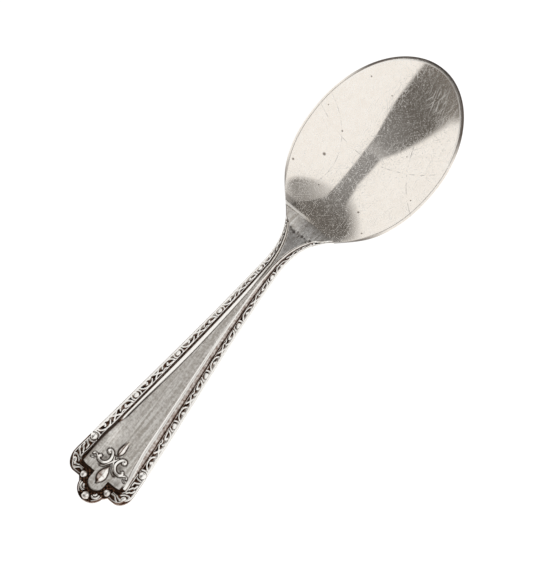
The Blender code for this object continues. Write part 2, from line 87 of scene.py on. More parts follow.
def band(station, widths):
    """Width of a moulding beside the panel, from waist to neck to heel."""
    waist, neck, heel = widths
    share = np.clip((station - NECK) / (HEEL - NECK), 0.0, 1.0)
    return np.where(station <= NECK, mix(neck, waist, taper(station, 0.75)), mix(neck, heel, share))


def mouldings(station):
    return band(station, THREAD_WIDTHS) + band(station, GROOVE_WIDTHS) + band(station, BORDER_WIDTHS)


def half_width(station):
    fullness = mix(taper(station, 1.5), smooth(taper(station, 1.0)), 0.3)
    bands = mix(PANEL_NECK, PANEL_WAIST, fullness) + mouldings(station)
    neck_half = PANEL_NECK + mouldings(NECK)
    spread = SHOULDER_HALF - neck_half
    run = np.maximum(station - NECK, 0.0) / SHOULDER_LENGTH
    shoulders = neck_half + spread * run ** (SHOULDER_SLOPE * SHOULDER_LENGTH / spread)
    return np.where(station <= NECK, bands, shoulders)


def ground(station):
    """Height of the front under the relief."""
    climb = smooth((station - END_FLAT) / (CREST - END_FLAT))
    fall = np.maximum(station - CREST, 0.0) / (HANDLE_LENGTH - CREST)
    return mix(END_THICKNESS, CREST_HEIGHT, climb) - CREASE_DROP * fall**2


def thickness(station):
    swell = mix(END_THICKNESS, NECK_THICKNESS, smooth((station - END_FLAT) / (NECK - END_FLAT)))
    return mix(swell, CREASE_THICKNESS, smooth((station - NECK) / SHOULDER_LENGTH))


def rounded_corner(station, offset, run, rise, last_turn, count):
    """Points of an outline round a corner, from the handle's end towards its side."""
    turns = np.radians(np.linspace(0, last_turn, count))
    return [(station + run * (1 - math.cos(t)), offset + rise * math.sin(t)) for t in turns]


def lobed_rows(outline, edge, end_rows, side_rows):
    """A grid whose first row is the outline, mirrored, and whose sides follow edge.

    Gives its stations, its offsets, the offset of each row's edge, and how far inside each point lies.
    """
    mirrored = [(station, -offset) for station, offset in reversed(outline[1:])]
    stations, offsets = np.array(mirrored + outline).T
    share = (np.arange(end_rows) / end_rows)[:, None] ** 1.6
    widest = outline[-1][1]
    end_stations = mix(stations[None, :], WAIST, share)
    end_offsets = offsets[None, :] / widest * mix(widest, edge(WAIST), share)
    rest = np.linspace(WAIST, HANDLE_LENGTH - SEAM / 2, side_rows)[:, None]
    rest_stations = rest + 0 * stations[None, :]
    rest_offsets = offsets[None, :] / widest * edge(rest)
    stations = np.vstack([end_stations, rest_stations])
    offsets = np.vstack([end_offsets, rest_offsets])
    edges = np.abs(offsets[:, :1])
    return stations, offsets, edges, np.minimum(edges - np.abs(offsets), stations - stations[:1])


def rounding(inside, radius, fall):
    """Drop of a rounded edge at a distance inside its outline."""
    share = 1 - np.clip(inside / radius, 0.0, 1.0)
    return fall * (1 - arch(share))


def on_spoon(stations, offsets, heights):
    return np.stack(np.broadcast_arrays(stations - SPOON_LENGTH / 2, offsets, heights), -1) * MM


def shell_of(stations, offsets, front, back, front_tarnish, back_tarnish=1.0):
    """A shell from the heights of its front and back over the same places."""
    return on_spoon(stations, offsets, front), on_spoon(stations, offsets, back), front_tarnish, back_tarnish


def make_piece(node, points, faces, tarnish, material):
    """A piece that stands for a solid, with tarnish on each point, which in places also holds painted shade:
    below nought it is whiter, rubbed in some places and a painted highlight in others.
    """
    mesh = bpy.data.meshes.new(node)
    mesh.from_pydata(points.tolist(), [], faces)
    mesh.attributes.new("tarnish", "FLOAT", "POINT").data.foreach_set("value", tarnish)
    welded = bmesh.new()
    welded.from_mesh(mesh)
    bmesh.ops.remove_doubles(welded, verts=welded.verts, dist=WELD_DISTANCE)
    welded.to_mesh(mesh)
    welded.free()
    mesh.shade_smooth()
    mesh.set_sharp_from_angle(angle=SHARP_EDGE)
    mesh.materials.append(material)
    piece = bpy.data.objects.new(f"{node}_silver", mesh)
    bpy.context.scene.collection.objects.link(piece)
    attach(piece, "root")
    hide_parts(node)


def strike(node, shells, material):
    """A piece made of closed shells, each a front, a back and the tarnish on both."""
    points, faces, tarnish = [], [], []
    first = 0
    for front, back, front_tarnish, back_tarnish in shells:
        rows, columns = front.shape[:2]
        count = rows * columns
        at = np.arange(count).reshape(rows, columns)
        tops = np.stack([at[:-1, :-1], at[1:, :-1], at[1:, 1:], at[:-1, 1:]], -1).reshape(-1, 4)
        rim = np.concatenate([at[:-1, 0], at[-1, :-1], at[:0:-1, -1], at[0, :0:-1]])
        after = np.roll(rim, -1)
        walls = np.stack([rim, rim + count, after + count, after], -1)
        faces += (np.vstack([tops, tops[:, ::-1] + count, walls]) + first).tolist()
        points += [front.reshape(-1, 3), back.reshape(-1, 3)]
        for layer in (front_tarnish, back_tarnish):
            tarnish.append(np.broadcast_to(layer, (rows, columns)).ravel())
        first += 2 * count
    make_piece(node, np.vstack(points), faces, np.concatenate(tarnish), material)


def linear(colour):
    """A colour written as sRGB hex, turned to the linear values that shaders take."""
    parts = [int(colour[at : at + 2], 16) / 255 for at in (1, 3, 5)]
    return [p / 12.92 if p <= 0.04045 else ((p + 0.055) / 1.055) ** 2.4 for p in parts] + [1.0]


def add_node(tree, kind, inputs, output=None, **settings):
    """Adds a shader node, sets or links its inputs, and gives the output named or the first in use."""
    made = tree.nodes.new("ShaderNode" + kind)
    for name, value in settings.items():
        setattr(made, name, value)
    for name, value in inputs.items():
        if isinstance(value, bpy.types.NodeSocket):
            tree.links.new(value, made.inputs[name])
        else:
            made.inputs[name].default_value = value
    if output:
        return made.outputs[output]
    return next((socket for socket in made.outputs if socket.enabled), None)


def new_silver(name):
    """A metal, with its node tree and the places on the piece that its patterns follow."""
    silver = bpy.data.materials.new(name)
    silver.use_nodes = True
    tree = silver.node_tree
    tree.nodes["Principled BSDF"].inputs["Metallic"].default_value = 1.0
    return silver, tree, add_node(tree, "TexCoord", {}, "Object")


def layered(tree, bare, *layers):
    """A colour that starts bare and takes on the tone of each layer by its share."""
    colour = linear(bare)
    for share, tone in layers:
        colour = add_node(tree, "Mix", {"Factor": share, "A": colour, "B": linear(tone)}, data_type="RGBA")
    return colour


def join_to_metal(tree, colour, gloss, normal):
    shader = tree.nodes["Principled BSDF"]
    for name, made in (("Base Color", colour), ("Roughness", gloss), ("Normal", normal)):
        tree.links.new(made, shader.inputs[name])


# Die-struck sterling: bright on the high points that hands and cloths reach, with dark brown silver sulphide
# in the hollows, which is matt, so the relief reads as light strokes on a dark ground.
struck_silver, tree, place = new_silver("sterling_struck_and_oxidised")
depth = add_node(tree, "Attribute", {}, "Fac", attribute_name="tarnish")
blotches = add_node(tree, "TexNoise", {"Vector": place, "Scale": 1 / (0.5 * MM), "Detail": 3.0})
patchy = add_node(tree, "Math", {0: blotches, 1: 0.7, 2: -0.35}, operation="MULTIPLY_ADD")
uneven = add_node(tree, "Math", {0: depth, 1: patchy}, operation="ADD")
sulphide = add_node(
    tree, "MapRange", {"Value": uneven, "From Min": 0.18, "From Max": 0.8}, interpolation_type="SMOOTHSTEP"
)
crust = add_node(tree, "MapRange", {"Value": uneven, "From Min": 0.7, "From Max": 1.0})
colour = layered(tree, "#FBF8F3", (sulphide, "#7E5A44"), (crust, "#231812"))
gloss = add_node(tree, "MapRange", {"Value": sulphide, "To Min": 0.28, "To Max": 0.55})
rubbed = add_node(tree, "TexNoise", {"Vector": place, "Scale": 1 / (0.25 * MM), "Detail": 2.0})
dents = add_node(tree, "Bump", {"Height": rubbed, "Strength": 0.25, "Distance": 0.02 * MM})
join_to_metal(tree, colour, gloss, dents)

CORNER_HALF = float(half_width(WAIST)) + CORNER_FLARE
corner_start = CORNER_HALF - CORNER_RISE
handle_outline = rounded_corner(0.0, 0.0, LOBE_RADIUS, LOBE_RADIUS, 80, 22)
notch_end = LOBE_RADIUS + 0.3 * (corner_start - LOBE_RADIUS)
handle_outline += [(CORNER_STATION, mix(notch_end, corner_start, share)) for share in (0, 0.3, 0.6)]
handle_outline += rounded_corner(CORNER_STATION, corner_start, CORNER_RUN, CORNER_RISE, 90, 26)
stations, offsets, edge, inside = lobed_rows(handle_outline, half_width, end_rows=72, side_rows=240)
heel_step = HEEL_STEP * smooth((stations - HEEL_LINE + 0.4) / 0.4)
front = ground(stations) - rounding(inside, EDGE_ROUND, EDGE_ROUND) - heel_step
dome = np.minimum(edge - np.abs(offsets), stations - stations[:1] + 0.35)
back_round = rounding(dome, DOME_ROUND, DOME_FALL) * smooth((HANDLE_LENGTH - stations) / 6 + 0.25)
back = ground(stations) - thickness(stations) + np.minimum(back_round, thickness(stations) - EDGE_LEAST)
# Along the outer edge the rim is painted: darker on the left as painted shade, and on the right whiter than
# bare silver as a painted highlight, darker only near the end.
left_rim_shade = mix(0.8, 0.95, smooth((14 - stations) / 8))
right_rim_shading = mix(-0.2, 0.6, smooth((9 - stations) / 4))
painted_rim_shading = np.where(offsets > 0, left_rim_shade, right_rim_shading)
groove_dirt = mix(0.95, 0.68, smooth((stations - 8) / 4))
matting = 2 * np.pi / 0.9
matted = np.sin(matting * stations) * np.sin(matting * offsets) * (1 - smooth((stations - 6) / 2))
beside_end = smooth(stations - 6) * (1 - smooth((stations - 11) / 3))
hatched = beside_end * smooth(1.5 * np.sin(2 * np.pi * stations / 0.75))
end_wear = np.where(offsets > 0, 0.22 * beside_end + 0.4 * hatched, 0.15 * hatched)
groove_dirt = groove_dirt - 0.2 * matted - end_wear
front_dirt_and_rim_shading = mix(painted_rim_shading, groove_dirt, smooth((inside - 0.1) / 0.2)) * (1 - smooth(stations - HEEL))
back_dirt = mix(-0.1, 0.29, smooth(inside / 0.8))
handle_shell = shell_of(stations, offsets, front, back, front_dirt_and_rim_shading, back_dirt)
strike("handle", [handle_shell], struck_silver)

# Bowl. A broad oval raised from the same blank over a stake, with a lip rounded by file and stone.
# The inside is polished, and scratched and lightly pitted by a century of spooning and washing.

BOWL_WIDTH, BOWL_NOSE, BOWL_WALL, RIM_HEIGHT, RIM_SWEEP = 29.7, 20.7, 1.0, 7.5, 9.0
DEEPEST_FROM_TIP, REST_WEAR, SECTION_POWER = 21.8, 0.2, 2.1
KEEL_HEIGHT = BOWL_WALL - REST_WEAR
BOWL_DEPTH = RIM_HEIGHT - KEEL_HEIGHT
CREASE_HEIGHT = CREST_HEIGHT - CREASE_DROP
TIP = SPOON_LENGTH - BOWL_WALL * math.sin(math.atan(2 * BOWL_DEPTH / DEEPEST_FROM_TIP))
MOUTH_HALF = BOWL_WIDTH / 2 - BOWL_WALL * math.sin(math.atan(2 * SECTION_POWER * BOWL_DEPTH / BOWL_WIDTH))
WIDEST, DEEPEST = TIP - BOWL_NOSE, TIP - DEEPEST_FROM_TIP
LIP_ROUND, LIP_SIDE, LIP_TIP, STRAIGHT_FROM = 0.45, 0.14, 0.24, 0.77


def mouth_half(station, side_inset=0.0, tip_inset=0.0):
    ahead = (station - WIDEST) / (BOWL_NOSE - tip_inset)
    nose = (MOUTH_HALF - side_inset) * arch(ahead)
    run = WIDEST - HANDLE_LENGTH
    share = (WIDEST - station) / run
    behind = mix(MOUTH_HALF, SHOULDER_HALF, smooth(share)) + SHOULDER_SLOPE * run * share**2 * (1 - share)
    behind = behind - side_inset * smooth((station - HANDLE_LENGTH) / RIM_SWEEP)
    return np.where(station >= WIDEST, nose, behind)


def bowl_height(station, offset):
    """Height of the inside of the bowl."""
    climb = np.maximum(1 - (station - HANDLE_LENGTH) / RIM_SWEEP, 0.0)
    rim = mix(RIM_HEIGHT, CREASE_HEIGHT, climb**2)
    to_crease = np.maximum((DEEPEST - station) / (DEEPEST - HANDLE_LENGTH), 0.0)
    to_tip = np.maximum((station - DEEPEST) / DEEPEST_FROM_TIP, 0.0)
    keel = KEEL_HEIGHT + (CREASE_HEIGHT - KEEL_HEIGHT) * to_crease**2 + BOWL_DEPTH * to_tip**2
    side = np.minimum(np.abs(offset) / np.maximum(mouth_half(station), 1e-6), 1.0)
    curved = np.minimum(side, STRAIGHT_FROM)
    rise = curved**SECTION_POWER
    rise = rise + SECTION_POWER * curved ** (SECTION_POWER - 1) * (side - curved)
    return mix(keel, rim, rise)


def ring_faces(shape):
    """Numbers of the points of a grid whose rows close on themselves, and the faces between them."""
    at = np.arange(math.prod(shape)).reshape(shape)
    beside = np.roll(at, -1, axis=1)
    return at, np.stack([at[:-1], at[1:], beside[1:], beside[:-1]], -1).reshape(-1, 4).tolist()


nose_turns = np.radians(np.linspace(0, 90, 91))
nose_rows = WIDEST + (BOWL_NOSE - LIP_TIP) * np.sin(nose_turns)
bowl_stations = np.append(np.linspace(HANDLE_LENGTH + SEAM / 2, WIDEST, 90)[:-1], nose_rows)
bowl_sides = np.sin(np.radians(np.linspace(-90, 90, 121)))
stations, side = np.meshgrid(bowl_stations, bowl_sides, indexing="ij")
offsets = mouth_half(stations, LIP_SIDE, LIP_TIP) * side
hollow = np.stack([stations, offsets, bowl_height(stations, offsets)], -1)
STEP = 0.02
slope_along = (bowl_height(stations + STEP, offsets) - bowl_height(stations - STEP, offsets)) / (2 * STEP)
slope_across = (bowl_height(stations, offsets + STEP) - bowl_height(stations, offsets - STEP)) / (2 * STEP)
leaving = smooth((stations - HANDLE_LENGTH) / RIM_SWEEP)[..., None]
upright = np.stack([-slope_along, -slope_across, np.ones(stations.shape)], -1)
upright[..., :2] *= leaving
upright /= np.linalg.norm(upright, axis=-1, keepdims=True)
underside = hollow - upright * mix(CREASE_THICKNESS, BOWL_WALL, leaving)
underside[..., 2] = np.maximum(underside[..., 2], 0.0)
lip_turns = np.radians(np.linspace(0, 180, 15)[1:-1])
lips = []
for column, hand in ((-1, 1), (0, -1)):
    top, foot, normal = hollow[:, column], underside[:, column], upright[:, column]
    along = np.gradient(top, axis=0)
    along[-1] = (0.0, -hand, 0.0)
    outwards = hand * np.cross(normal, along)
    outwards /= np.linalg.norm(outwards, axis=-1, keepdims=True)
    bulge = LIP_ROUND * leaving[:, 0] + 0.02
    lips.append([mix(top, foot, (1 - math.cos(t)) / 2) + outwards * bulge * math.sin(t) for t in lip_turns])
inner_rows = np.moveaxis(hollow, 1, 0)
outer_rows = np.moveaxis(underside, 1, 0)[::-1]
sections = np.stack([*inner_rows, *lips[0], *outer_rows, *lips[1][::-1]], 1)
sections[..., 0] -= SPOON_LENGTH / 2
at, bowl_faces = ring_faces(sections.shape[:2])
bowl_faces.append(at[0].tolist())

# Polished sterling: a clear, slightly warm mirror. Use has covered it with tiny dents, which throw specks of
# light into dark reflections, and drawn hair scratches and a few long curved ones, thin and dark. Scattered
# pits are a few tenths of a millimetre wide. The hairs are drawn coarser than real ones, so that they show.
# Outside, where no food rubs it, a thin brown film dulls it, and a darker line round the lip is painted
# shade. On the lip's edge it is rubbed white, and beside the crease on the left it is whitened as a painted
# highlight.
polished_silver, tree, place = new_silver("sterling_polished_and_scratched")


def hair_scratches(tree, place, hairs):
    """Thin broken lines, 0 to 1, in sets of a direction, a spacing and length in mm, and a rarity."""
    scratches = 0.0
    for turn, spacing, length, rarity in hairs:
        turned = add_node(
            tree,
            "Mapping",
            {"Vector": place, "Rotation": (0, 0, turn), "Scale": (length * MM, spacing * MM, 1.0)},
            vector_type="TEXTURE",
        )
        waves = add_node(tree, "TexNoise", {"Vector": turned, "Scale": 1.0, "Detail": 1.0})
        lines = add_node(tree, "MapRange", {"Value": waves, "From Min": rarity, "From Max": rarity + 0.08})
        scratches = add_node(tree, "Math", {0: lines, 1: scratches}, operation="MAXIMUM")
    return scratches


HAIR_SETS = ((0.15, 0.16, 5.0, 0.63), (0.8, 0.16, 4.0, 0.65), (1.3, 0.16, 3.0, 0.65), (2.4, 0.16, 4.0, 0.65))
TIP_HAIR_SETS = ((0.3, 0.24, 3.0, 0.56), (-0.25, 0.24, 2.5, 0.58))
TIP_HAIRS_AT = Vector((50.0, -3.4, 6.0))
# Each long scratch and pit is its place from the spoon's middle, along and across, and its radius
LONG_SCRATCHES = ((25.4, 17.8, 13.1), (49.1, -29.9, 26.0), (62.0, 4.0, 29.0))
PITS = (
    (28.0, 7.6, 0.34), (22.5, 11.2, 0.25), (34.1, 7.9, 0.2), (46.0, 4.7, 0.15), (45.9, 10.1, 0.16),
    (22.9, -5.4, 0.25), (19.4, -9.0, 0.18), (31.1, -12.1, 0.16), (35.8, 13.0, 0.13), (22.2, 4.3, 0.17),
    (38.4, -5.4, 0.13),
)

hairs = hair_scratches(tree, place, HAIR_SETS)
hairs = add_node(tree, "Math", {0: hairs, 1: 0.7}, operation="MULTIPLY")
spooned = hair_scratches(tree, place, TIP_HAIR_SETS)
from_tip = add_node(tree, "VectorMath", {0: place, 1: TIP_HAIRS_AT * MM}, operation="DISTANCE")
near_tip = add_node(tree, "MapRange", {"Value": from_tip, "From Min": 6 * MM, "From Max": 2 * MM})
spooned = add_node(tree, "Math", {0: spooned, 1: near_tip}, operation="MULTIPLY")
hairs = add_node(tree, "Math", {0: hairs, 1: spooned}, operation="MAXIMUM")
grain = add_node(tree, "TexNoise", {"Vector": place, "Scale": 1 / (0.22 * MM), "Detail": 2.0})
specks = add_node(tree, "MapRange", {"Value": grain, "From Min": 0.57, "From Max": 0.66, "To Max": 0.9})
plan = add_node(tree, "VectorMath", {0: place, 1: (1.0, 1.0, 0.0)}, operation="MULTIPLY")
arcs = 0.0
for x, y, radius in LONG_SCRATCHES:
    away = add_node(tree, "VectorMath", {0: plan, 1: (x * MM, y * MM, 0.0)}, operation="DISTANCE")
    ring = add_node(tree, "Math", {0: away, 1: radius * MM, 2: 0.09 * MM}, operation="COMPARE")
    arcs = add_node(tree, "Math", {0: ring, 1: arcs}, operation="MAXIMUM")
clouds = add_node(tree, "TexNoise", {"Vector": place, "Scale": 1 / (1.3 * MM), "Detail": 4.0})
here_and_there = add_node(
    tree, "MapRange", {"Value": clouds, "From Min": 0.42, "From Max": 0.6, "To Max": 0.7}
)
arcs = add_node(tree, "Math", {0: arcs, 1: here_and_there}, operation="MULTIPLY")
scratches = add_node(tree, "Math", {0: hairs, 1: arcs}, operation="MAXIMUM")
scuffs = add_node(tree, "Math", {0: scratches, 1: specks}, operation="MAXIMUM")
# This attribute holds the brown outside film and the painted shade line round the lip; below nought it holds
# the rubbed lip edge and a painted highlight beside the crease.
film_and_painted_light = add_node(tree, "Attribute", {}, "Fac", attribute_name="tarnish")
bright_wear_and_highlight = add_node(tree, "MapRange", {"Value": film_and_painted_light, "From Max": -1.0})
scuffs = add_node(tree, "Math", {0: scuffs, 1: bright_wear_and_highlight}, operation="MAXIMUM")
pits = add_node(tree, "Math", {0: arcs, 1: 0.5}, operation="MULTIPLY")
for x, y, radius in PITS:
    away = add_node(tree, "VectorMath", {0: plan, 1: (x * MM, y * MM, 0.0)}, operation="DISTANCE")
    pit = add_node(
        tree, "MapRange", {"Value": away, "From Min": 1.3 * radius * MM, "From Max": 0.5 * radius * MM}
    )
    pits = add_node(tree, "Math", {0: pit, 1: pits}, operation="MAXIMUM")
wear_and_highlight = ((clouds, "#F6F0E8"), (scuffs, "#FFFCF7"), (pits, "#8A8077"))
colour = layered(tree, "#EBE2D7", *wear_and_highlight, (film_and_painted_light, "#43372F"))
gloss = add_node(tree, "MapRange", {"Value": scuffs, "To Min": 0.06, "To Max": 0.6})
dints = add_node(tree, "Bump", {"Height": scuffs, "Strength": 0.08, "Distance": 0.02 * MM})
join_to_metal(tree, colour, gloss, dints)

# A dark line painted round the lip's outer side as shade, strongest at the tip and near the crease.
lip_shade_turns = smooth(lip_turns / math.radians(50))
lip_shade_rows = 0.05 + 0.9 * smooth((bowl_stations - 97) / 7) + 0.8 * smooth((80 - bowl_stations) / 6)
painted_lip_shade = lip_shade_rows[:, None] * lip_shade_turns[None, :]
to_lip = np.hypot((stations - WIDEST) / (BOWL_NOSE - LIP_TIP), offsets / (MOUTH_HALF - LIP_SIDE))
rubbed = 0.8 * smooth((to_lip - 0.986) / 0.006) * smooth((stations - 95) / 5)
# Beside the crease on the left, a white line is a painted highlight, and a dark line just beyond it is
# painted shade.
rubbed = np.maximum(rubbed, smooth((HANDLE_LENGTH + 0.7 - stations) / 0.3) * smooth(offsets / 2))
crease_side_shade = 0.5 * smooth((HANDLE_LENGTH + 2.3 - stations) / 0.8) * smooth((offsets - 4) / 1.2)
inner_wear_and_painted_light = np.where(rubbed > 0.05, -rubbed, crease_side_shade)
dulled = np.full(hollow.shape[:2], 0.2)
film_and_painted_light = np.concatenate([inner_wear_and_painted_light, painted_lip_shade, dulled, painted_lip_shade[:, ::-1]], 1)
make_piece("bowl", sections.reshape(-1, 3) * MM, bowl_faces, film_and_painted_light.ravel(), polished_silver)

# Panel. The raised field down the front, left plain for a name. It is struck with the rest and rubbed satin,
# with a tongue into the middle lobe. Its sides slope into the grooves, and past the neck it widens to the
# bowl, where a punched line marks the heel.

TONGUE_STATION, TONGUE_RADIUS, PANEL_STATION, PANEL_CORNER = 2.54, 1.25, 5.8, 0.9
PANEL_RISE, PANEL_FEATHER, PANEL_SLOPE, PANEL_FOOT = 0.28, 0.12, 0.28, 0.30
DROP_STATION, DROP_LENGTH, DROP_WIDTH, DROP_WIDEST = 4.24, 4.25, 1.8, 0.4
KNOT_STATION = DROP_STATION + DROP_LENGTH + 1.13
LEAF_STATION, LEAF_LENGTH, LEAF_WIDTH, LEAF_WIDEST = KNOT_STATION + 1.35, 4.0, 1.1, 0.3
SCROLL_OFFSET, SCROLL_STROKE = 2.1, 0.6
PUNCH_MARKS, FIRST_PUNCH, PUNCH_STEP, PUNCH_DEPTH = 15, 4.0, 0.6, 0.02


def panel_edge(station):
    """Offset of the foot of the panel's slope; past the heel the panel takes the whole width."""
    plain = half_width(station) - mouldings(station)
    return plain + PANEL_FOOT + (mouldings(station) - 0.25) * smooth((station - HEEL) / 1.5)


def thread_lost(station, hand):
    """Share of the thread's width that wear has joined to the panel near the handle's end."""
    return np.where(hand > 0, smooth((38 - station) / 20), smooth((11.5 - station) / 4.5))


def thread_gone(station):
    """Where the left thread ends, worn down to the panel."""
    return smooth((18.5 - station) / 2.5)


def thread_inset(station, hand):
    """How far the thread's inner edge lies inside the drawn line; the die sat askew, so more on the right."""
    along_panel = smooth((station - 10) / 6) * (1 - smooth((station - 52) / 6))
    return np.where(hand > 0, 0.18, 0.34) * along_panel


def panel_top(station):
    return ground(station) + mix(PANEL_RISE, PANEL_FEATHER, smooth((station - NECK) / SHOULDER_LENGTH))


def curve_through(points, steps):
    """A smooth curve through a few (station, offset) points."""
    ends = np.array([points[0], *points, points[-1]], float)
    share = (np.arange(steps) / steps)[:, None]
    curve = []
    for before, start, end, after in zip(ends, ends[1:], ends[2:], ends[3:]):
        first, last = (end - before) / 2, (after - start) / 2
        bend = (1 - share) * share * ((1 - share) * (first - (end - start)) - share * (last - (end - start)))
        curve.append(mix(start, end, share) + bend)
    return np.vstack([*curve, ends[-1:]])


def gap_to(start, end, along, across):
    """Distance from each point to a straight stretch of a path."""
    (a0, c0), (a1, c1) = start, end
    run = max((a1 - a0) ** 2 + (c1 - c0) ** 2, 1e-12)
    share = np.clip(((along - a0) * (a1 - a0) + (across - c0) * (c1 - c0)) / run, 0.0, 1.0)
    return np.hypot(along - mix(a0, a1, share), across - mix(c0, c1, share))


def distance_to(path, stations, offsets):
    """Distance from each point to the nearest place of a path."""
    return np.minimum.reduce([gap_to(start, end, stations, offsets) for start, end in zip(path, path[1:])])


# Middle lines of the lily's strokes on the left, which the panel needs for the dirt and painted shade around
# them
scroll_middle = np.array([KNOT_STATION, SCROLL_OFFSET])
scroll_points = [(0.88, -0.38), (0.98, -0.08), (1.28, -0.04), (1.46, -0.38), (1.25, -0.86), (0.65, -1.24)]
scroll_points += [(0.0, -1.38), (-0.70, -1.22), (-1.30, -0.70), (-1.52, 0.0), (-1.40, 0.58), (-1.0, 0.88)]
scroll_points += [(-0.62, 0.62)]
scroll_path = curve_through(scroll_points, 6) + scroll_middle
tail_points = [(-1.42, 0.55), (-1.12, 1.12), (-0.80, 1.55), (-0.92, 1.98), (-1.25, 2.08)]
tail_path = curve_through(tail_points, 6) + scroll_middle
leaflet_path = curve_through([(-1.95, 2.15), (-1.85, 1.85), (-1.65, 1.62)], 6) + scroll_middle
arm_points = [(-2.2, 1.78), (-1.9, 1.15), (-1.05, 0.62), (0.0, 0.0), (0.6, -0.34), (1.1, -0.5)]
arm_path = curve_through(arm_points, 10) + (KNOT_STATION, 0.0)


def petal_half(station, first, length, width, widest_at):
    share = np.clip((station - first) / length, 0.0, 1.0)
    swell = np.where(share < widest_at, share / widest_at, (1 - share) / (1 - widest_at))
    return width / 2 * np.sin(np.pi / 2 * swell)


tongue_end = TONGUE_STATION - PANEL_FOOT
tongue_half = TONGUE_RADIUS + PANEL_FOOT
panel_end = PANEL_STATION - PANEL_FOOT
corner_from = PANEL_WAIST - PANEL_CORNER
panel_outline = rounded_corner(tongue_end, 0.0, tongue_half, tongue_half, 90, 20)
panel_outline += [(panel_end - 0.1, tongue_half + 0.02)]
panel_outline += [(panel_end, mix(tongue_half, corner_from, share)) for share in (0.06, 0.2, 0.4, 0.6, 0.8)]
panel_outline += rounded_corner(panel_end, corner_from, PANEL_CORNER, PANEL_CORNER + PANEL_FOOT, 90, 16)
stations, offsets, edge, inside = lobed_rows(panel_outline, panel_edge, end_rows=70, side_rows=560)
lost = thread_lost(stations, offsets)
to_groove = 0.28 * band(stations, THREAD_WIDTHS) + 0.6 * band(stations, GROOVE_WIDTHS)
left_join = 0.72 * band(stations, THREAD_WIDTHS) * lost + to_groove * thread_gone(stations)
right_join = 0.8 * band(stations, THREAD_WIDTHS) * lost
joined = np.where(offsets > 0, left_join, right_join) - thread_inset(stations, offsets)
offsets = offsets + np.sign(offsets) * joined * (offsets / edge) ** 2
front = mix(ground(stations) + 0.03, panel_top(stations), smooth((inside - PANEL_FOOT + 0.1) / PANEL_SLOPE))
front = front + 0.5 * bump((stations - 13.2) / 2.2) * smooth(2 * offsets / edge - 1)
punched = np.zeros(stations.shape)
for number in range(PUNCH_MARKS):
    punch_station = HEEL_LINE + 0.35 * math.sin(2.4 * number)
    punch_offset = FIRST_PUNCH - PUNCH_STEP * number
    punch_radius = 0.34 + 0.14 * math.sin(4.1 * number)
    gap = np.hypot(stations - punch_station, offsets - punch_offset) / punch_radius
    punched = np.maximum(punched, 1 - smooth(2 * gap - 1))
front = front - PUNCH_DEPTH * punched
front = front - 0.35 * smooth((stations - HEEL_LINE) / 0.9) * smooth(offsets / 5.5)
# Dark outlines round the lily's strokes and petals: tarnish at their feet and painted shade, wider on the
# petals' left.
painted_outline_shade = np.zeros(stations.shape)
near = stations < 17
for hand in (1, -1):
    for path, reach in ((scroll_path, 0.36), (tail_path, 0.15), (leaflet_path, 0.1), (arm_path, 0.15)):
        gap = distance_to(path * (1, hand), stations[near], offsets[near]) - reach
        painted_outline_shade[near] = np.maximum(painted_outline_shade[near], 1 - smooth((gap - 0.05) / 0.22))
for first, length, width, widest_at in (
    (DROP_STATION, DROP_LENGTH, DROP_WIDTH, DROP_WIDEST),
    (LEAF_STATION, LEAF_LENGTH, LEAF_WIDTH, LEAF_WIDEST),
):
    past_ends = np.maximum(np.maximum(first - stations, stations - first - length), 0.0)
    past_side = np.maximum(np.abs(offsets) - petal_half(stations, first, length, width, widest_at), 0.0)
    ring = 1 - smooth((np.hypot(past_side, past_ends) - np.where(offsets > 0, 0.2, 0.1)) / 0.22)
    painted_outline_shade = np.maximum(painted_outline_shade, ring * (1 - smooth(stations - LEAF_STATION - 0.6 * LEAF_LENGTH)))
# A dark band along the panel's foot, tarnish and painted shade: beside the left thread it is nearly black,
# beside the right faint.
edge_shade_and_dirt = 1 - smooth((inside - PANEL_FOOT - 0.02) / mix(0.6, 0.2, smooth((stations - 4.6) / 0.8)))
beside_thread = smooth((stations - PANEL_STATION - PANEL_CORNER) / 0.8)
side_shade_and_dirt = np.where(offsets > 0, 0.97, mix(0.12, 0.0, lost))
edge_shade_and_dirt = edge_shade_and_dirt * mix(1.0, side_shade_and_dirt, beside_thread) * (1 - 0.6 * smooth(stations - HEEL))
thumbed = 0.12 * (1 - smooth((stations - 5) / 3)) + 0.25 * smooth((stations - 60) / 4)
heel_dirt = np.where(stations < HEEL_LINE + 0.3, np.maximum(thumbed, 0.8 * punched), 0.8 * punched)
# A dark patch painted inside each C-scroll's hollow as shade.
scroll_hollow_shade = 0.65 * bump(np.hypot(stations - KNOT_STATION + 0.3, np.abs(offsets) - 1.8) / 0.45)
in_corner = 0.45 * bump(np.hypot(stations - 6.5, offsets + 3.2) / 0.7)
panel_tarnish_and_shade = np.maximum.reduce([0.95 * painted_outline_shade, edge_shade_and_dirt, heel_dirt, scroll_hollow_shade, in_corner])

# Satin sterling: rubbed lengthwise with pumice, so fine parallel lines spread each reflection into a soft,
# mottled grey, with a few brighter hairs across it. Past the neck, where the thumb's side rubs it, it is
# shiny again.
satin_silver, tree, place = new_silver("sterling_satin_rubbed_lengthwise")
depth = add_node(tree, "Attribute", {}, "Fac", attribute_name="tarnish")
stretched = add_node(
    tree, "Mapping", {"Vector": place, "Scale": (1 / (14 * MM), 1 / (0.5 * MM), 1 / (14 * MM))}
)
streaks = add_node(tree, "TexNoise", {"Vector": stretched, "Scale": 1.0, "Detail": 3.0, "Roughness": 0.6})
mottle = add_node(
    tree, "TexNoise", {"Vector": place, "Scale": 1 / (0.55 * MM), "Detail": 3.0, "Roughness": 0.7}
)
uneven = add_node(tree, "Math", {0: streaks, 1: mottle}, operation="ADD")
streaky = add_node(tree, "MapRange", {"Value": uneven, "From Min": 0.82, "From Max": 1.18})
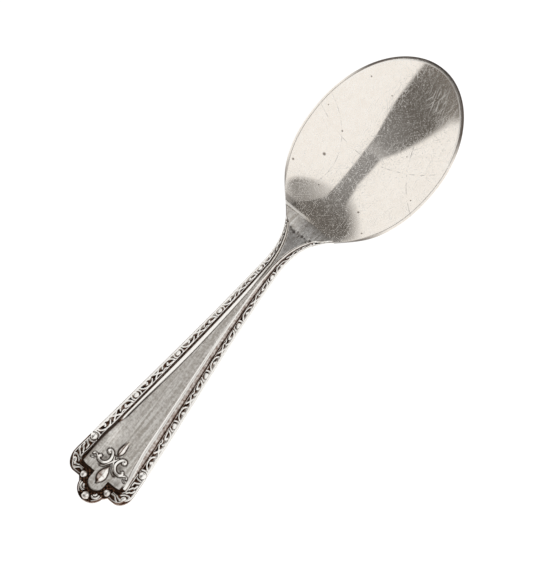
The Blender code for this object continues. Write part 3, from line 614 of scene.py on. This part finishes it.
colour = layered(tree, "#CEC7BE", (streaky, "#FFFCF7"), (depth, "#3E2D22"))
along = add_node(tree, "SeparateXYZ", {"Vector": place}, "X")
across = add_node(tree, "SeparateXYZ", {"Vector": place}, "Y")
satin_to = (NECK - SPOON_LENGTH / 2 - 8) * MM
shiny_from = (NECK - SPOON_LENGTH / 2 + 1) * MM
matt = add_node(
    tree,
    "MapRange",
    {"Value": along, "From Min": satin_to, "From Max": shiny_from, "To Min": 0.52, "To Max": 0.08},
    interpolation_type="SMOOTHSTEP",
)
heel_at = (HEEL_LINE - SPOON_LENGTH / 2) * MM
past_heel = add_node(
    tree, "MapRange", {"Value": along, "From Min": heel_at, "From Max": heel_at + 0.6 * MM, "To Max": 0.34}
)
on_left = add_node(
    tree, "MapRange", {"Value": across, "From Min": -0.5 * MM, "From Max": 3 * MM, "To Min": 0.1}
)
matt = add_node(tree, "Math", {0: past_heel, 1: on_left, 2: matt}, operation="MULTIPLY_ADD")
gloss = add_node(tree, "Math", {0: mottle, 1: 0.16, 2: matt}, operation="MULTIPLY_ADD")
PANEL_HAIR_SETS = ((0.1, 0.2, 12.0, 0.68), (1.1, 0.2, 4.0, 0.7), (2.0, 0.2, 5.0, 0.7))
hairs = hair_scratches(tree, place, PANEL_HAIR_SETS)
hairs = add_node(tree, "Math", {0: hairs, 1: matt}, operation="MULTIPLY")
rough = add_node(tree, "Math", {0: hairs, 1: 1.2, 2: uneven}, operation="MULTIPLY_ADD")
rubbing = add_node(tree, "Bump", {"Height": rough, "Strength": 0.5, "Distance": 0.06 * MM})
join_to_metal(tree, colour, gloss, rubbing)

panel_back = np.minimum(ground(stations) - SEAM, front - 0.1)
panel_shell = shell_of(stations, offsets, front, panel_back, panel_tarnish_and_shade)
strike("panel", [panel_shell], satin_silver)

# Threads. The two plain half-round mouldings along the panel's edges, struck with the rest and worn to a
# bright line. Their outer slope falls brown into the groove beside the border, and is longer on the right.
# Near the end the left one is rubbed down to the panel.

THREAD_RISE = 0.5


def strip_grid(path, inner, outer, across):
    """Stations, offsets and places across, -1 to 1, of a strip that reaches to both sides of a path."""
    path = np.asarray(path)
    along = np.gradient(path, axis=0)
    along /= np.linalg.norm(along, axis=1, keepdims=True)
    side = np.linspace(-1, 1, across + 1)[None, :] + np.zeros((len(path), 1))
    reach = side * np.where(side < 0, np.reshape(inner, (-1, 1)), np.reshape(outer, (-1, 1)))
    return path[:, :1] - along[:, 1:] * reach, path[:, 1:] + along[:, :1] * reach, side


def on_hand(shell, hand):
    """A shell made for the left side, kept there or mirrored to the right."""
    if hand == "left":
        return shell
    front, back, front_tarnish, back_tarnish = shell
    flip = np.array([1, -1, 1])
    return front[:, ::-1] * flip, back[:, ::-1] * flip, front_tarnish[:, ::-1], back_tarnish


run = np.linspace(PANEL_STATION + PANEL_CORNER, HEEL, 560)
plain = half_width(run) - mouldings(run)
for hand, sign in (("left", 1), ("right", -1)):
    lost = thread_lost(run, sign)
    inner_edge = plain + 0.72 * band(run, THREAD_WIDTHS) * lost - thread_inset(run, sign)
    into_groove = 0.4 if hand == "left" else 1.0
    outer_edge = plain + band(run, THREAD_WIDTHS) + into_groove * band(run, GROOVE_WIDTHS)
    middle = (inner_edge + outer_edge) / 2
    reach = (outer_edge - inner_edge) / 2
    stations, offsets, side = strip_grid(np.stack([run, middle], 1), reach, reach, across=40)
    gone = thread_gone(run)[:, None]
    kept = 1 - 0.85 * gone if hand == "left" else 1 - 0.2 * lost[:, None]
    ridge_at = 0.0 if hand == "left" else mix(-0.5, 0.0, smooth((16 - run) / 8))[:, None]
    crest = (side - ridge_at) / np.where(side < ridge_at, 1 + ridge_at, 1 - ridge_at)
    climb = np.maximum(1 + crest, 0.0)
    inner_side = climb**0.6 if hand == "left" else mix(0.45, 1.0, climb)
    outer_side = 1 - 0.5 * crest - 0.5 * smooth((crest - 0.45) / 0.55)
    crown = np.where(crest < 0, inner_side, outer_side)
    feet = np.where(crest < 0, 0.2, 0.0)
    front = ground(stations) + mix(PANEL_FEATHER, THREAD_RISE, kept) * np.maximum(crown, feet) + 0.02
    slope_from, slope, foot = (0.4, 0.6, 0.25) if hand == "left" else (0.1, 0.5, 0.35)
    slope_dirt = slope * smooth((crest - slope_from) / 0.2) + foot * smooth((crest - 0.72) / 0.15)
    foot_dirt = 0.7 * smooth((-0.85 - crest) / 0.1) * (1 - lost[:, None])
    tarnish = np.maximum(slope_dirt, foot_dirt)
    if hand == "left":
        tarnish = np.maximum(tarnish, 0.95 * gone)
    shell = shell_of(stations, offsets, front, ground(stations) - SEAM, tarnish)
    strike(f"{hand}_thread", [on_hand(shell, hand)], struck_silver)

# Side borders. Running scrolls along both edges, struck in the die: from bead to bead a C-scroll that opens
# outwards, a crossing, and the same scroll turned over, inside a plain rail. Towards the neck they are worn
# away, and dirt lies unevenly in them. A dark line beside the left rail is painted shade, and the right
# border is painted whiter towards its outer side as a highlight.

SCROLL_PITCH, SIDE_BEAD_STATION, SIDE_BEAD_RADIUS = 11.4, 11.1, 0.80
BORDER_FLOOR, BORDER_RISE, BORDER_LEAN, EDGE_MARGIN = 0.20, 0.70, 0.28, 0.08


def chase(along, across, strokes, flatness):
    """Relief, 0 to 1, of strokes: each is its line, its radius at both ends, and its height."""
    relief = np.zeros(np.shape(along))
    for line, (first, last), height in strokes:
        path = curve_through(line, 5)
        for number, (start, end) in enumerate(zip(path, path[1:])):
            radius = mix(first, last, (number + 0.5) / (len(path) - 1))
            close = np.abs(along - (start[0] + end[0]) / 2) < radius + abs(end[0] - start[0])
            gap = gap_to(start, end, along[close], across[close]) / radius
            relief[close] = np.maximum(relief[close], height * arch(gap, flatness))
    return relief


scroll = [
    ([(1.4, 0.45), (1.6, -0.05), (2.2, -0.52), (3.1, -0.66), (3.9, -0.45), (4.35, 0.0)], (0.2, 0.17), 1.0),
    ([(1.8, 0.5), (2.5, 0.42), (3.1, 0.18), (2.85, -0.12)], (0.17, 0.25), 0.95),
    ([(3.6, 0.5), (4.0, 0.32), (4.5, 0.5)], (0.18, 0.14), 0.9),
]
crossing = [
    ([(4.8, 0.5), (5.7, -0.05), (6.6, -0.6)], (0.19, 0.19), 1.0),
    ([(4.8, -0.6), (5.7, -0.05), (6.6, 0.5)], (0.19, 0.19), 1.0),
    ([(5.6, -0.05), (5.8, -0.05)], (0.32, 0.32), 1.0),
]
stud = [
    ([(0.74, 0.5), (0.98, 0.2), (1.0, -0.25), (0.8, -0.7)], (0.17, 0.17), 0.9),
    ([(-0.02, -0.06), (0.02, -0.06)], (0.56, 0.56), 1.0),
]
unit = scroll + crossing + stud
unit += [([(SCROLL_PITCH - a, -0.1 - c) for a, c in line], radii, height) for line, radii, height in scroll]
unit += [([(SCROLL_PITCH - a, c) for a, c in line], radii, height) for line, radii, height in stud]


def round_bead(across, radius):
    """How far a border's end reaches past a bead's nearest point, since it follows the bead's round."""
    return radius * (1 - arch(across / radius))


run = np.linspace(SIDE_BEAD_STATION + SIDE_BEAD_RADIUS + SEAM, HEEL, 860)
width = band(run, BORDER_WIDTHS)
path = np.stack([run, half_width(run) - width / 2], 1)
inner_reach = width / 2 + 0.3 * band(run, GROOVE_WIDTHS)
stations, offsets, side = strip_grid(path, inner_reach, width / 2 - EDGE_MARGIN, across=36)
across = np.where(side < 0, 1.09, 0.84) * side
from_bead = 1 - smooth((run - run[0]) / 2.0)[:, None]
stations = stations - round_bead(across * width[0] / 2, SIDE_BEAD_RADIUS) * from_bead
along = (stations - SIDE_BEAD_STATION) % SCROLL_PITCH
relief = chase(along, across, unit, flatness=6)
rail = smooth((across - 0.28) / 0.16)
inner_rail = 0.8 * arch((across + 0.8) / 0.14)
skirt = smooth((across + 1.09) / 0.2)
worn = smooth((run[:, None] - 24) / 30)
left_relief = np.maximum.reduce([relief, rail, inner_rail])
right_relief = np.maximum.reduce([relief, rail, 0.4 * inner_rail])
for hand, relief, reach in (("left", left_relief, 0.3), ("right", right_relief, 1.0)):
    hollows = 1 - smooth(relief / 0.7)
    from_top = (0.84 - across if hand == "left" else across + 1.09) * width[:, None] / 2
    tops = BORDER_RISE * mix(1, 0.9, worn) - BORDER_LEAN * from_top
    front = ground(stations) + 0.02 + skirt * mix(BORDER_FLOOR, tops, relief)
    # The right border is kept cleaner than the left on its outer side, as a painted highlight.
    rubbed = smooth((across + (0.35 if hand == "left" else 0.3)) / 0.6) * mix(reach, 1.0, worn)
    # On the left, a dark line along the border's outer edge is painted shade.
    outline = 0.75 * smooth((across - 0.72) / 0.08) if hand == "left" else 0.0
    uneven = 0.95 + 0.3 * np.sin(2.9 * stations) * np.sin(1.1 * stations + 3 * across)
    dirt_and_shading = hollows * (1 - 0.75 * rubbed) * uneven
    if hand == "right":
        dirt_and_shading = dirt_and_shading * (1 - 0.25 * smooth((-0.6 - across) / 0.3))
    tarnish = np.maximum(np.maximum(dirt_and_shading, 0.6 * (1 - skirt)), outline)
    # Below nought, the right border's outer half is painted whiter as a highlight.
    if hand == "right":
        tarnish = tarnish - 0.25 * smooth((across - 0.1) / 0.3)
    shell = shell_of(stations, offsets, front, ground(stations) - SEAM, tarnish)
    strike(f"{hand}_border", [on_hand(shell, hand)], struck_silver)

# End borders. Leaf scrolls struck round the lobed end: a short curl each side of the end bead, and longer
# sprays that turn round the corner lobes to the side beads. Their hollows are nearly black, and a dark line
# painted round their rims is shade, fainter on the right past the corner.

LOBE_BORDER, CORNER_BORDER, END_BEAD_RADIUS, NOTCH_BEAD_RADIUS = 1.6, 1.75, 0.82, 0.72

round_lobe = LOBE_RADIUS - LOBE_BORDER / 2 - EDGE_MARGIN
turns = np.linspace(math.asin((END_BEAD_RADIUS + LOBE_BORDER / 4) / round_lobe), math.radians(84), 70)
lobe_path = np.stack([LOBE_RADIUS - round_lobe * np.cos(turns), round_lobe * np.sin(turns)], 1)
lobe_leaves = [
    ([(0.0, -0.45), (0.6, 0.0), (1.3, 0.2), (2.2, 0.1)], (0.26, 0.18), 1.0),
    ([(0.7, -0.62), (1.3, -0.4), (2.0, -0.42)], (0.24, 0.2), 0.95),
    ([(-0.2, 0.6), (1.0, 0.62), (2.6, 0.6)], (0.2, 0.2), 1.0),
]
middle = CORNER_BORDER / 2 + EDGE_MARGIN
corner_path = curve_through(
    [
        (CORNER_STATION + middle, LOBE_RADIUS + NOTCH_BEAD_RADIUS + SEAM),
        (CORNER_STATION + middle, CORNER_HALF - CORNER_RISE),
        (CORNER_STATION + middle + 0.3 * CORNER_RUN, CORNER_HALF - middle - 0.25 * CORNER_RISE),
        (CORNER_STATION + CORNER_RUN, CORNER_HALF - middle),
        (SIDE_BEAD_STATION - SIDE_BEAD_RADIUS - SEAM, CORNER_HALF - CORNER_FLARE - middle),
    ],
    40,
)
corner_leaves = [
    ([(0.0, -0.7), (0.8, -0.74), (1.5, -0.62)], (0.14, 0.14), 0.8),
    ([(0.0, -0.25), (0.6, -0.35), (1.0, -0.05), (1.25, 0.35)], (0.2, 0.16), 1.0),
    ([(1.1, -0.6), (1.6, -0.25), (1.75, 0.2)], (0.17, 0.19), 0.95),
    ([(2.3, 0.22), (2.5, 0.2)], (0.44, 0.44), 1.0),
    ([(2.2, -0.62), (3.0, -0.4), (3.35, 0.05), (3.3, 0.4)], (0.16, 0.19), 0.95),
    ([(3.3, -0.7), (3.9, -0.35), (4.1, 0.1), (4.6, 0.4)], (0.17, 0.2), 1.0),
    ([(4.3, -0.7), (4.85, -0.3), (5.0, 0.1), (5.5, 0.3)], (0.17, 0.2), 0.95),
    ([(5.2, -0.65), (5.75, -0.5), (5.95, 0.0), (6.1, 0.4)], (0.17, 0.18), 1.0),
    ([(6.5, 0.45), (6.6, -0.1), (6.5, -0.6)], (0.17, 0.17), 0.95),
    ([(2.6, -0.98), (4.0, -0.95), (5.4, -1.05), (6.6, -0.95)], (0.16, 0.16), 0.7),
    ([(-0.2, 0.66), (2.0, 0.66), (4.5, 0.66), (7.5, 0.66)], (0.21, 0.21), 1.0),
]
for name, path, half, spread, leaves in (
    ("lobe_border", lobe_path, LOBE_BORDER / 2, 0.1, lobe_leaves),
    ("corner_border", corner_path, CORNER_BORDER / 2, 0.35, corner_leaves),
):
    walked = np.concatenate([[0], np.cumsum(np.linalg.norm(np.diff(path, axis=0), axis=1))])
    inner = half + spread * smooth(walked / 2.5)
    stations, offsets, side = strip_grid(path, inner, np.full(len(path), half), across=36)
    across = side * np.where(side < 0, inner[:, None], half)
    if name == "corner_border":
        to_bead = smooth((walked - walked[-1] + 2.0) / 2.0)[:, None]
        stations = stations + round_bead(across, SIDE_BEAD_RADIUS) * to_bead
    last = max(line[-1][0] for line, _, _ in leaves[:-1])
    along = walked[:, None] / walked[-1] * (last + 0.2) + 0 * side
    relief = chase(along, across, leaves, flatness=3)
    skirt = smooth((across + inner[:, None]) / 0.2)
    front = ground(stations) + 0.02 + skirt * mix(BORDER_FLOOR, BORDER_RISE, relief)
    front = front - 0.25 * np.maximum(across + 0.75, 0.0) / 1.6 * relief
    tarnish = np.maximum(0.9 * (1 - smooth(relief / 0.62)), 0.8 * (1 - skirt))
    # A dark line painted along the rims as shade, less on the right past the corner.
    rim = smooth((across - half + 0.34) / 0.2)
    past_corner = smooth((walked - 2.5) / 1.5)[:, None]
    for hand, painted_rim_shading in (("left", 0.9 * rim), ("right", 0.75 * rim * (1 - past_corner))):
        dirt_and_shading = np.maximum(tarnish, painted_rim_shading)
        shell = shell_of(stations, offsets, front, ground(stations) - SEAM, dirt_and_shading)
        strike(f"{hand}_{name}", [on_hand(shell, hand)], struck_silver)

# Beads. Five round studs struck between the borders: one on the end, two in the notches of the outline and
# two where the sides begin. Their crowns are rubbed bright, and dirt rings their feet.

BEAD_CENTRE_RISE, BEAD_FLATNESS, END_BEAD_STATION, OUT_OF_ROUND = 0.30, 0.96, 1.05, 0.03
side_offset = float(half_width(SIDE_BEAD_STATION) - band(SIDE_BEAD_STATION, BORDER_WIDTHS) / 2)
notch_at = CORNER_STATION + NOTCH_BEAD_RADIUS
beads = [("end_bead", END_BEAD_STATION, 0.0, END_BEAD_RADIUS, 0.34)]
for hand, sign in (("left", 1), ("right", -1)):
    beads.append((f"{hand}_notch_bead", notch_at, sign * LOBE_RADIUS, NOTCH_BEAD_RADIUS, 0.34))
    beads.append((f"{hand}_side_bead", SIDE_BEAD_STATION, sign * side_offset, SIDE_BEAD_RADIUS, 0.1))
tilt = np.radians(np.linspace(0, 90, 24))[:, None]
spin = np.linspace(0, 2 * np.pi, 48, endpoint=False)[None, :]
for name, station, offset, radius, crown_dirt in beads:
    out_of_round = radius * (1 + OUT_OF_ROUND * np.sin(3 * spin + station) * np.sin(tilt) ** 2)
    rise = np.append(BEAD_CENTRE_RISE + BEAD_FLATNESS * radius * np.cos(tilt[:, 0]), SEAM)
    stations = station + np.vstack([out_of_round * np.sin(tilt) * np.cos(spin), radius * np.cos(spin)])
    offsets = offset + np.vstack([out_of_round * np.sin(tilt) * np.sin(spin), radius * np.sin(spin)])
    seat = float(ground(station))
    heights = seat + rise[:, None] + 0 * spin
    at, faces = ring_faces(heights.shape)
    faces.append(at[-1, ::-1].tolist())
    tarnish = mix(1.0, crown_dirt, smooth((rise - 0.25) / 0.45))[:, None] + 0 * spin
    points = on_spoon(stations, offsets, heights).reshape(-1, 3)
    make_piece(name, points, faces, tarnish.ravel(), struck_silver)

# Lily. The traditional fleur on the panel: a ridged drop and leaf in line, two C-scrolls back to back with
# curls and tails, and the knot with two arms that ties them. All are struck about half a millimetre proud and
# worn soft on top, with dirt in their nicks.

FLEUR_RISE, FLEUR_SINK, FLEUR_BACK = 0.45, 0.04, 0.06
CURL_HALF, TAIL_HALF, LEAFLET_HALF = 0.37, 0.17, 0.12
TAIL_RISE, LEAFLET_RISE, ARM_RISE = 0.32, 0.2, 0.36


def lay_wire(path, half, rise):
    """A ridged wire on the panel, as a shell."""
    stations, offsets, side = strip_grid(path, half, half, across=12)
    seat = panel_top(stations)
    in_from_edge = 1 - np.abs(side)
    front = seat + mix(-FLEUR_SINK, rise, 0.65 * smooth(in_from_edge / 0.3) + 0.35 * in_from_edge)
    tarnish = 0.9 * np.abs(side) ** 6
    return shell_of(stations, offsets, front, seat - FLEUR_BACK, tarnish)


def petal(first, length, width, widest_at, nicks, furrow):
    """A ridged petal as a shell, with dirt in a furrow and in nicks, each a place, a width and a depth, and
    its left half painted darker as shade.
    """
    run = np.linspace(first, first + length, 70)
    half = np.maximum(petal_half(run, first, length, width, widest_at), 0.03)
    stations, offsets, side = strip_grid(np.stack([run, 0 * run], 1), half, half, across=20)
    ends = smooth(6 * (0.5 - np.abs(np.linspace(0, 1, 70) - 0.5)))[:, None]
    seat = panel_top(stations)
    front = seat - FLEUR_SINK + FLEUR_RISE * ends * (1 - np.abs(side)) ** 0.8
    # The left half is painted darker than the right, as painted shade.
    dirt_and_shading = mix(0.2, 0.5, smooth(4 * side + 0.5)) + furrow * bump((side - 0.1) / 0.15)
    for place, across, nick in nicks:
        dirt_and_shading = dirt_and_shading + nick * bump(((stations - first) / length - place) / across)
    tarnish = np.maximum(0.9 * np.abs(side) ** 5, dirt_and_shading)
    return shell_of(stations, offsets, front, seat - FLEUR_BACK, tarnish)


def blunt_ends(path, drawn_in):
    """Shares of a wire's width along its path, drawn in to blunt ends."""
    share = np.linspace(0, 1, len(path))
    return np.sqrt(np.clip(np.minimum(share, 1 - share) / drawn_in, 0.1, 1.0))


drop_nicks = ((0.1, 0.1, 0.4), (0.42, 0.04, 0.2))
leaf_nicks = ((0.05, 0.1, 0.3),)
drop = petal(DROP_STATION, DROP_LENGTH, DROP_WIDTH, DROP_WIDEST, drop_nicks, 0.0)
leaf = petal(LEAF_STATION, LEAF_LENGTH, LEAF_WIDTH, LEAF_WIDEST, leaf_nicks, 0.5)
strike("fleur_drop", [drop], struck_silver)
strike("fleur_leaf", [leaf], struck_silver)
wires = [(scroll_path, SCROLL_STROKE / 2 * blunt_ends(scroll_path, 0.03), FLEUR_RISE)]
for end, inwards in ((scroll_path[0], (-0.1, -0.2)), (scroll_path[-1], (0.1, -0.15))):
    curl_path = np.linspace(end + inwards, end - inwards, 11)
    wires.append((curl_path, CURL_HALF * arch(np.linspace(-0.98, 0.98, 11)), 0.95 * FLEUR_RISE))
wires.append((tail_path, TAIL_HALF * blunt_ends(tail_path, 0.1), TAIL_RISE))
wires.append((leaflet_path, LEAFLET_HALF * blunt_ends(leaflet_path, 0.3), LEAFLET_RISE))
for hand in ("left", "right"):
    shells = [on_hand(lay_wire(*wire), hand) for wire in wires]
    strike(f"fleur_{hand}_scroll", shells, struck_silver)
share = np.linspace(0, 1, len(arm_path))
arm_half = mix(0.12, 0.24, bump((share - 0.62) / 0.12)) * blunt_ends(arm_path, 0.1)
arm = lay_wire(arm_path, arm_half, ARM_RISE)
strike("fleur_knot", [on_hand(arm, "left"), on_hand(arm, "right")], struck_silver)

# Table. A sheet of matt white card that the spoon lies on, with a soft shadow. Where the camera or the silver
# sees it, it is lit up to a studio's white; from below it is clear, so that the back of the spoon shows.

TABLE_REACH = 8.0
floor_mesh = bpy.data.meshes.new("table")
corners = [(x * TABLE_REACH, y * TABLE_REACH, 0) for x, y in ((-1, -1), (1, -1), (1, 1), (-1, 1))]
floor_mesh.from_pydata(corners, [], [(0, 1, 2, 3)])
white_table = bpy.data.materials.new("white_card_matt")
white_table.use_nodes = True
tree = white_table.node_tree
tree.nodes.clear()
seen = 0.0
for kind in ("Is Camera Ray", "Is Glossy Ray", "Is Transmission Ray"):
    ray = add_node(tree, "LightPath", {}, kind)
    seen = add_node(tree, "Math", {0: ray, 1: seen}, operation="MAXIMUM")
card = add_node(tree, "BsdfDiffuse", {"Color": linear("#EEEEEE")})
shaded = add_node(tree, "BsdfDiffuse", {"Color": linear("#A0A0A0")})
glow = add_node(tree, "Emission", {"Color": linear("#FFFFFF"), "Strength": 0.86})
bright = add_node(tree, "AddShader", {0: shaded, 1: glow})
mixed = add_node(tree, "MixShader", {0: seen, 1: card, 2: bright})
under = add_node(tree, "NewGeometry", {}, "Backfacing")
clear = add_node(tree, "BsdfTransparent", {})
one_sided = add_node(tree, "MixShader", {0: under, 1: mixed, 2: clear})
add_node(tree, "OutputMaterial", {"Surface": one_sided})
floor_mesh.materials.append(white_table)
table = bpy.data.objects.new("table", floor_mesh)
bpy.context.scene.collection.objects.link(table)

# Light. A white studio tent: walls of light on both sides of the spoon, and between them overhead the dim gap
# where the camera stands, with a paler strut across it, which the bowl and the panel mirror. The walls' edges
# are crisp ahead of the spoon and blur towards the handle.

world = bpy.data.worlds.new("studio_tent")
world.use_nodes = True
bpy.context.scene.world = world
tree = world.node_tree
tree.nodes.clear()
direction = add_node(tree, "TexCoord", {}, "Generated")


def within(*edges):
    """How far a direction lies inside a part of the tent whose edges are planes through the spoon."""
    least = 1.0
    for edge in edges:
        plane = Vector(edge).normalized()
        past = add_node(tree, "VectorMath", {0: direction, 1: plane}, operation="DOT_PRODUCT")
        least = add_node(tree, "Math", {0: past, 1: least}, operation="MINIMUM")
    return least


left_wall = within((-0.06, 1.0, -0.3), (1.7, 1.0, -0.58), (-0.345, 1.0, -0.056))
right_wall = within((0.085, -1.0, -0.128), (-0.13, -1.0, 0.362), (-0.285, -0.9, 1.0))
near_right, mid_right = within((0.384, -1.0, -0.121)), within((0.058, -1.0, -0.266))
right_bend = add_node(tree, "Math", {0: near_right, 1: mid_right}, operation="MAXIMUM")
right_wall = add_node(tree, "Math", {0: right_wall, 1: right_bend}, operation="MINIMUM")
above_right = within((0.0, 0.7, 1.5))
far_right = add_node(tree, "MapRange", {"Value": above_right, "From Min": 0.071, "From Max": 0.676})
ahead = within((1.0, 0.0, 0.0))
lit = 0.0
for wall, edge, near_focus, end_from, end_to, end_level in (
    (left_wall, 0.04, 0.28, 0.755, 0.88, 0.0),
    (right_wall, 0.004, 0.08, 0.815, 0.86, far_right),
):
    focus = add_node(
        tree, "MapRange", {"Value": ahead, "From Max": -0.45, "To Min": 1.0, "To Max": near_focus}
    )
    wall = add_node(tree, "Math", {0: wall, 1: focus}, operation="MULTIPLY")
    wall_light = add_node(
        tree,
        "MapRange",
        {"Value": wall, "From Min": -edge, "From Max": edge},
        interpolation_type="SMOOTHSTEP",
    )
    end_light = add_node(
        tree,
        "MapRange",
        {"Value": ahead, "From Min": end_from, "From Max": end_to, "To Min": 1.0, "To Max": end_level},
    )
    shining = add_node(tree, "Math", {0: wall_light, 1: end_light}, operation="MINIMUM")
    lit = add_node(tree, "Math", {0: shining, 1: lit}, operation="MAXIMUM")
height = within((0.5, 0.0, 1.0))
overhead = add_node(tree, "MapRange", {"Value": height, "From Min": 0.6})
low = add_node(tree, "MapRange", {"Value": height, "From Min": 0.45, "From Max": 0.15})
strut_edge = add_node(tree, "MapRange", {"Value": ahead, "From Min": 0.17, "From Max": 0.15})
strut_fade = add_node(tree, "MapRange", {"Value": ahead, "From Min": 0.0, "From Max": 0.14})
strut = add_node(tree, "Math", {0: strut_edge, 1: strut_fade}, operation="MINIMUM")
gap = ((overhead, "#949495"), (low, "#86827E"), (strut, "#B3B3B4"))
glow = layered(tree, "#696663", *gap, (lit, "#FFFFFF"))
background = add_node(tree, "Background", {"Color": glow, "Strength": 1.0})
add_node(tree, "OutputWorld", {"Surface": background})

# Camera. It looks down at the spoon from the handle's side through a long lens, with the picture upright: the
# handle's end lies at the lower left and the bowl at the upper right.

PICTURE_HEIGHT, PIXELS_PER_MM, CAMERA_DISTANCE = 575, 5.035, 600.0
AZIMUTH, ELEVATION = math.radians(-50.31), math.radians(78.47)
level = math.cos(ELEVATION)
away = Vector((math.sin(AZIMUTH) * level, -math.cos(AZIMUTH) * level, math.sin(ELEVATION)))
right = Vector((math.cos(AZIMUTH), math.sin(AZIMUTH), 0.0))
up = away.cross(right)
lens = bpy.data.cameras.new("camera")
lens.sensor_width = 36.0
lens.lens = PIXELS_PER_MM * CAMERA_DISTANCE / PICTURE_HEIGHT * lens.sensor_width
lens.clip_start, lens.clip_end = 0.01, 50.0
camera = bpy.data.objects.new("camera", lens)
aim = Vector((0.0, 0.0, 5.0)) + right * 0.427 - up * 1.325
camera.location = (aim + away * CAMERA_DISTANCE) * MM
camera.rotation_mode = "QUATERNION"
camera.rotation_quaternion = (-away).to_track_quat("-Z", "Y")
bpy.context.scene.collection.objects.link(camera)
bpy.context.scene.camera = camera
bpy.context.scene.view_settings.view_transform = "Standard"
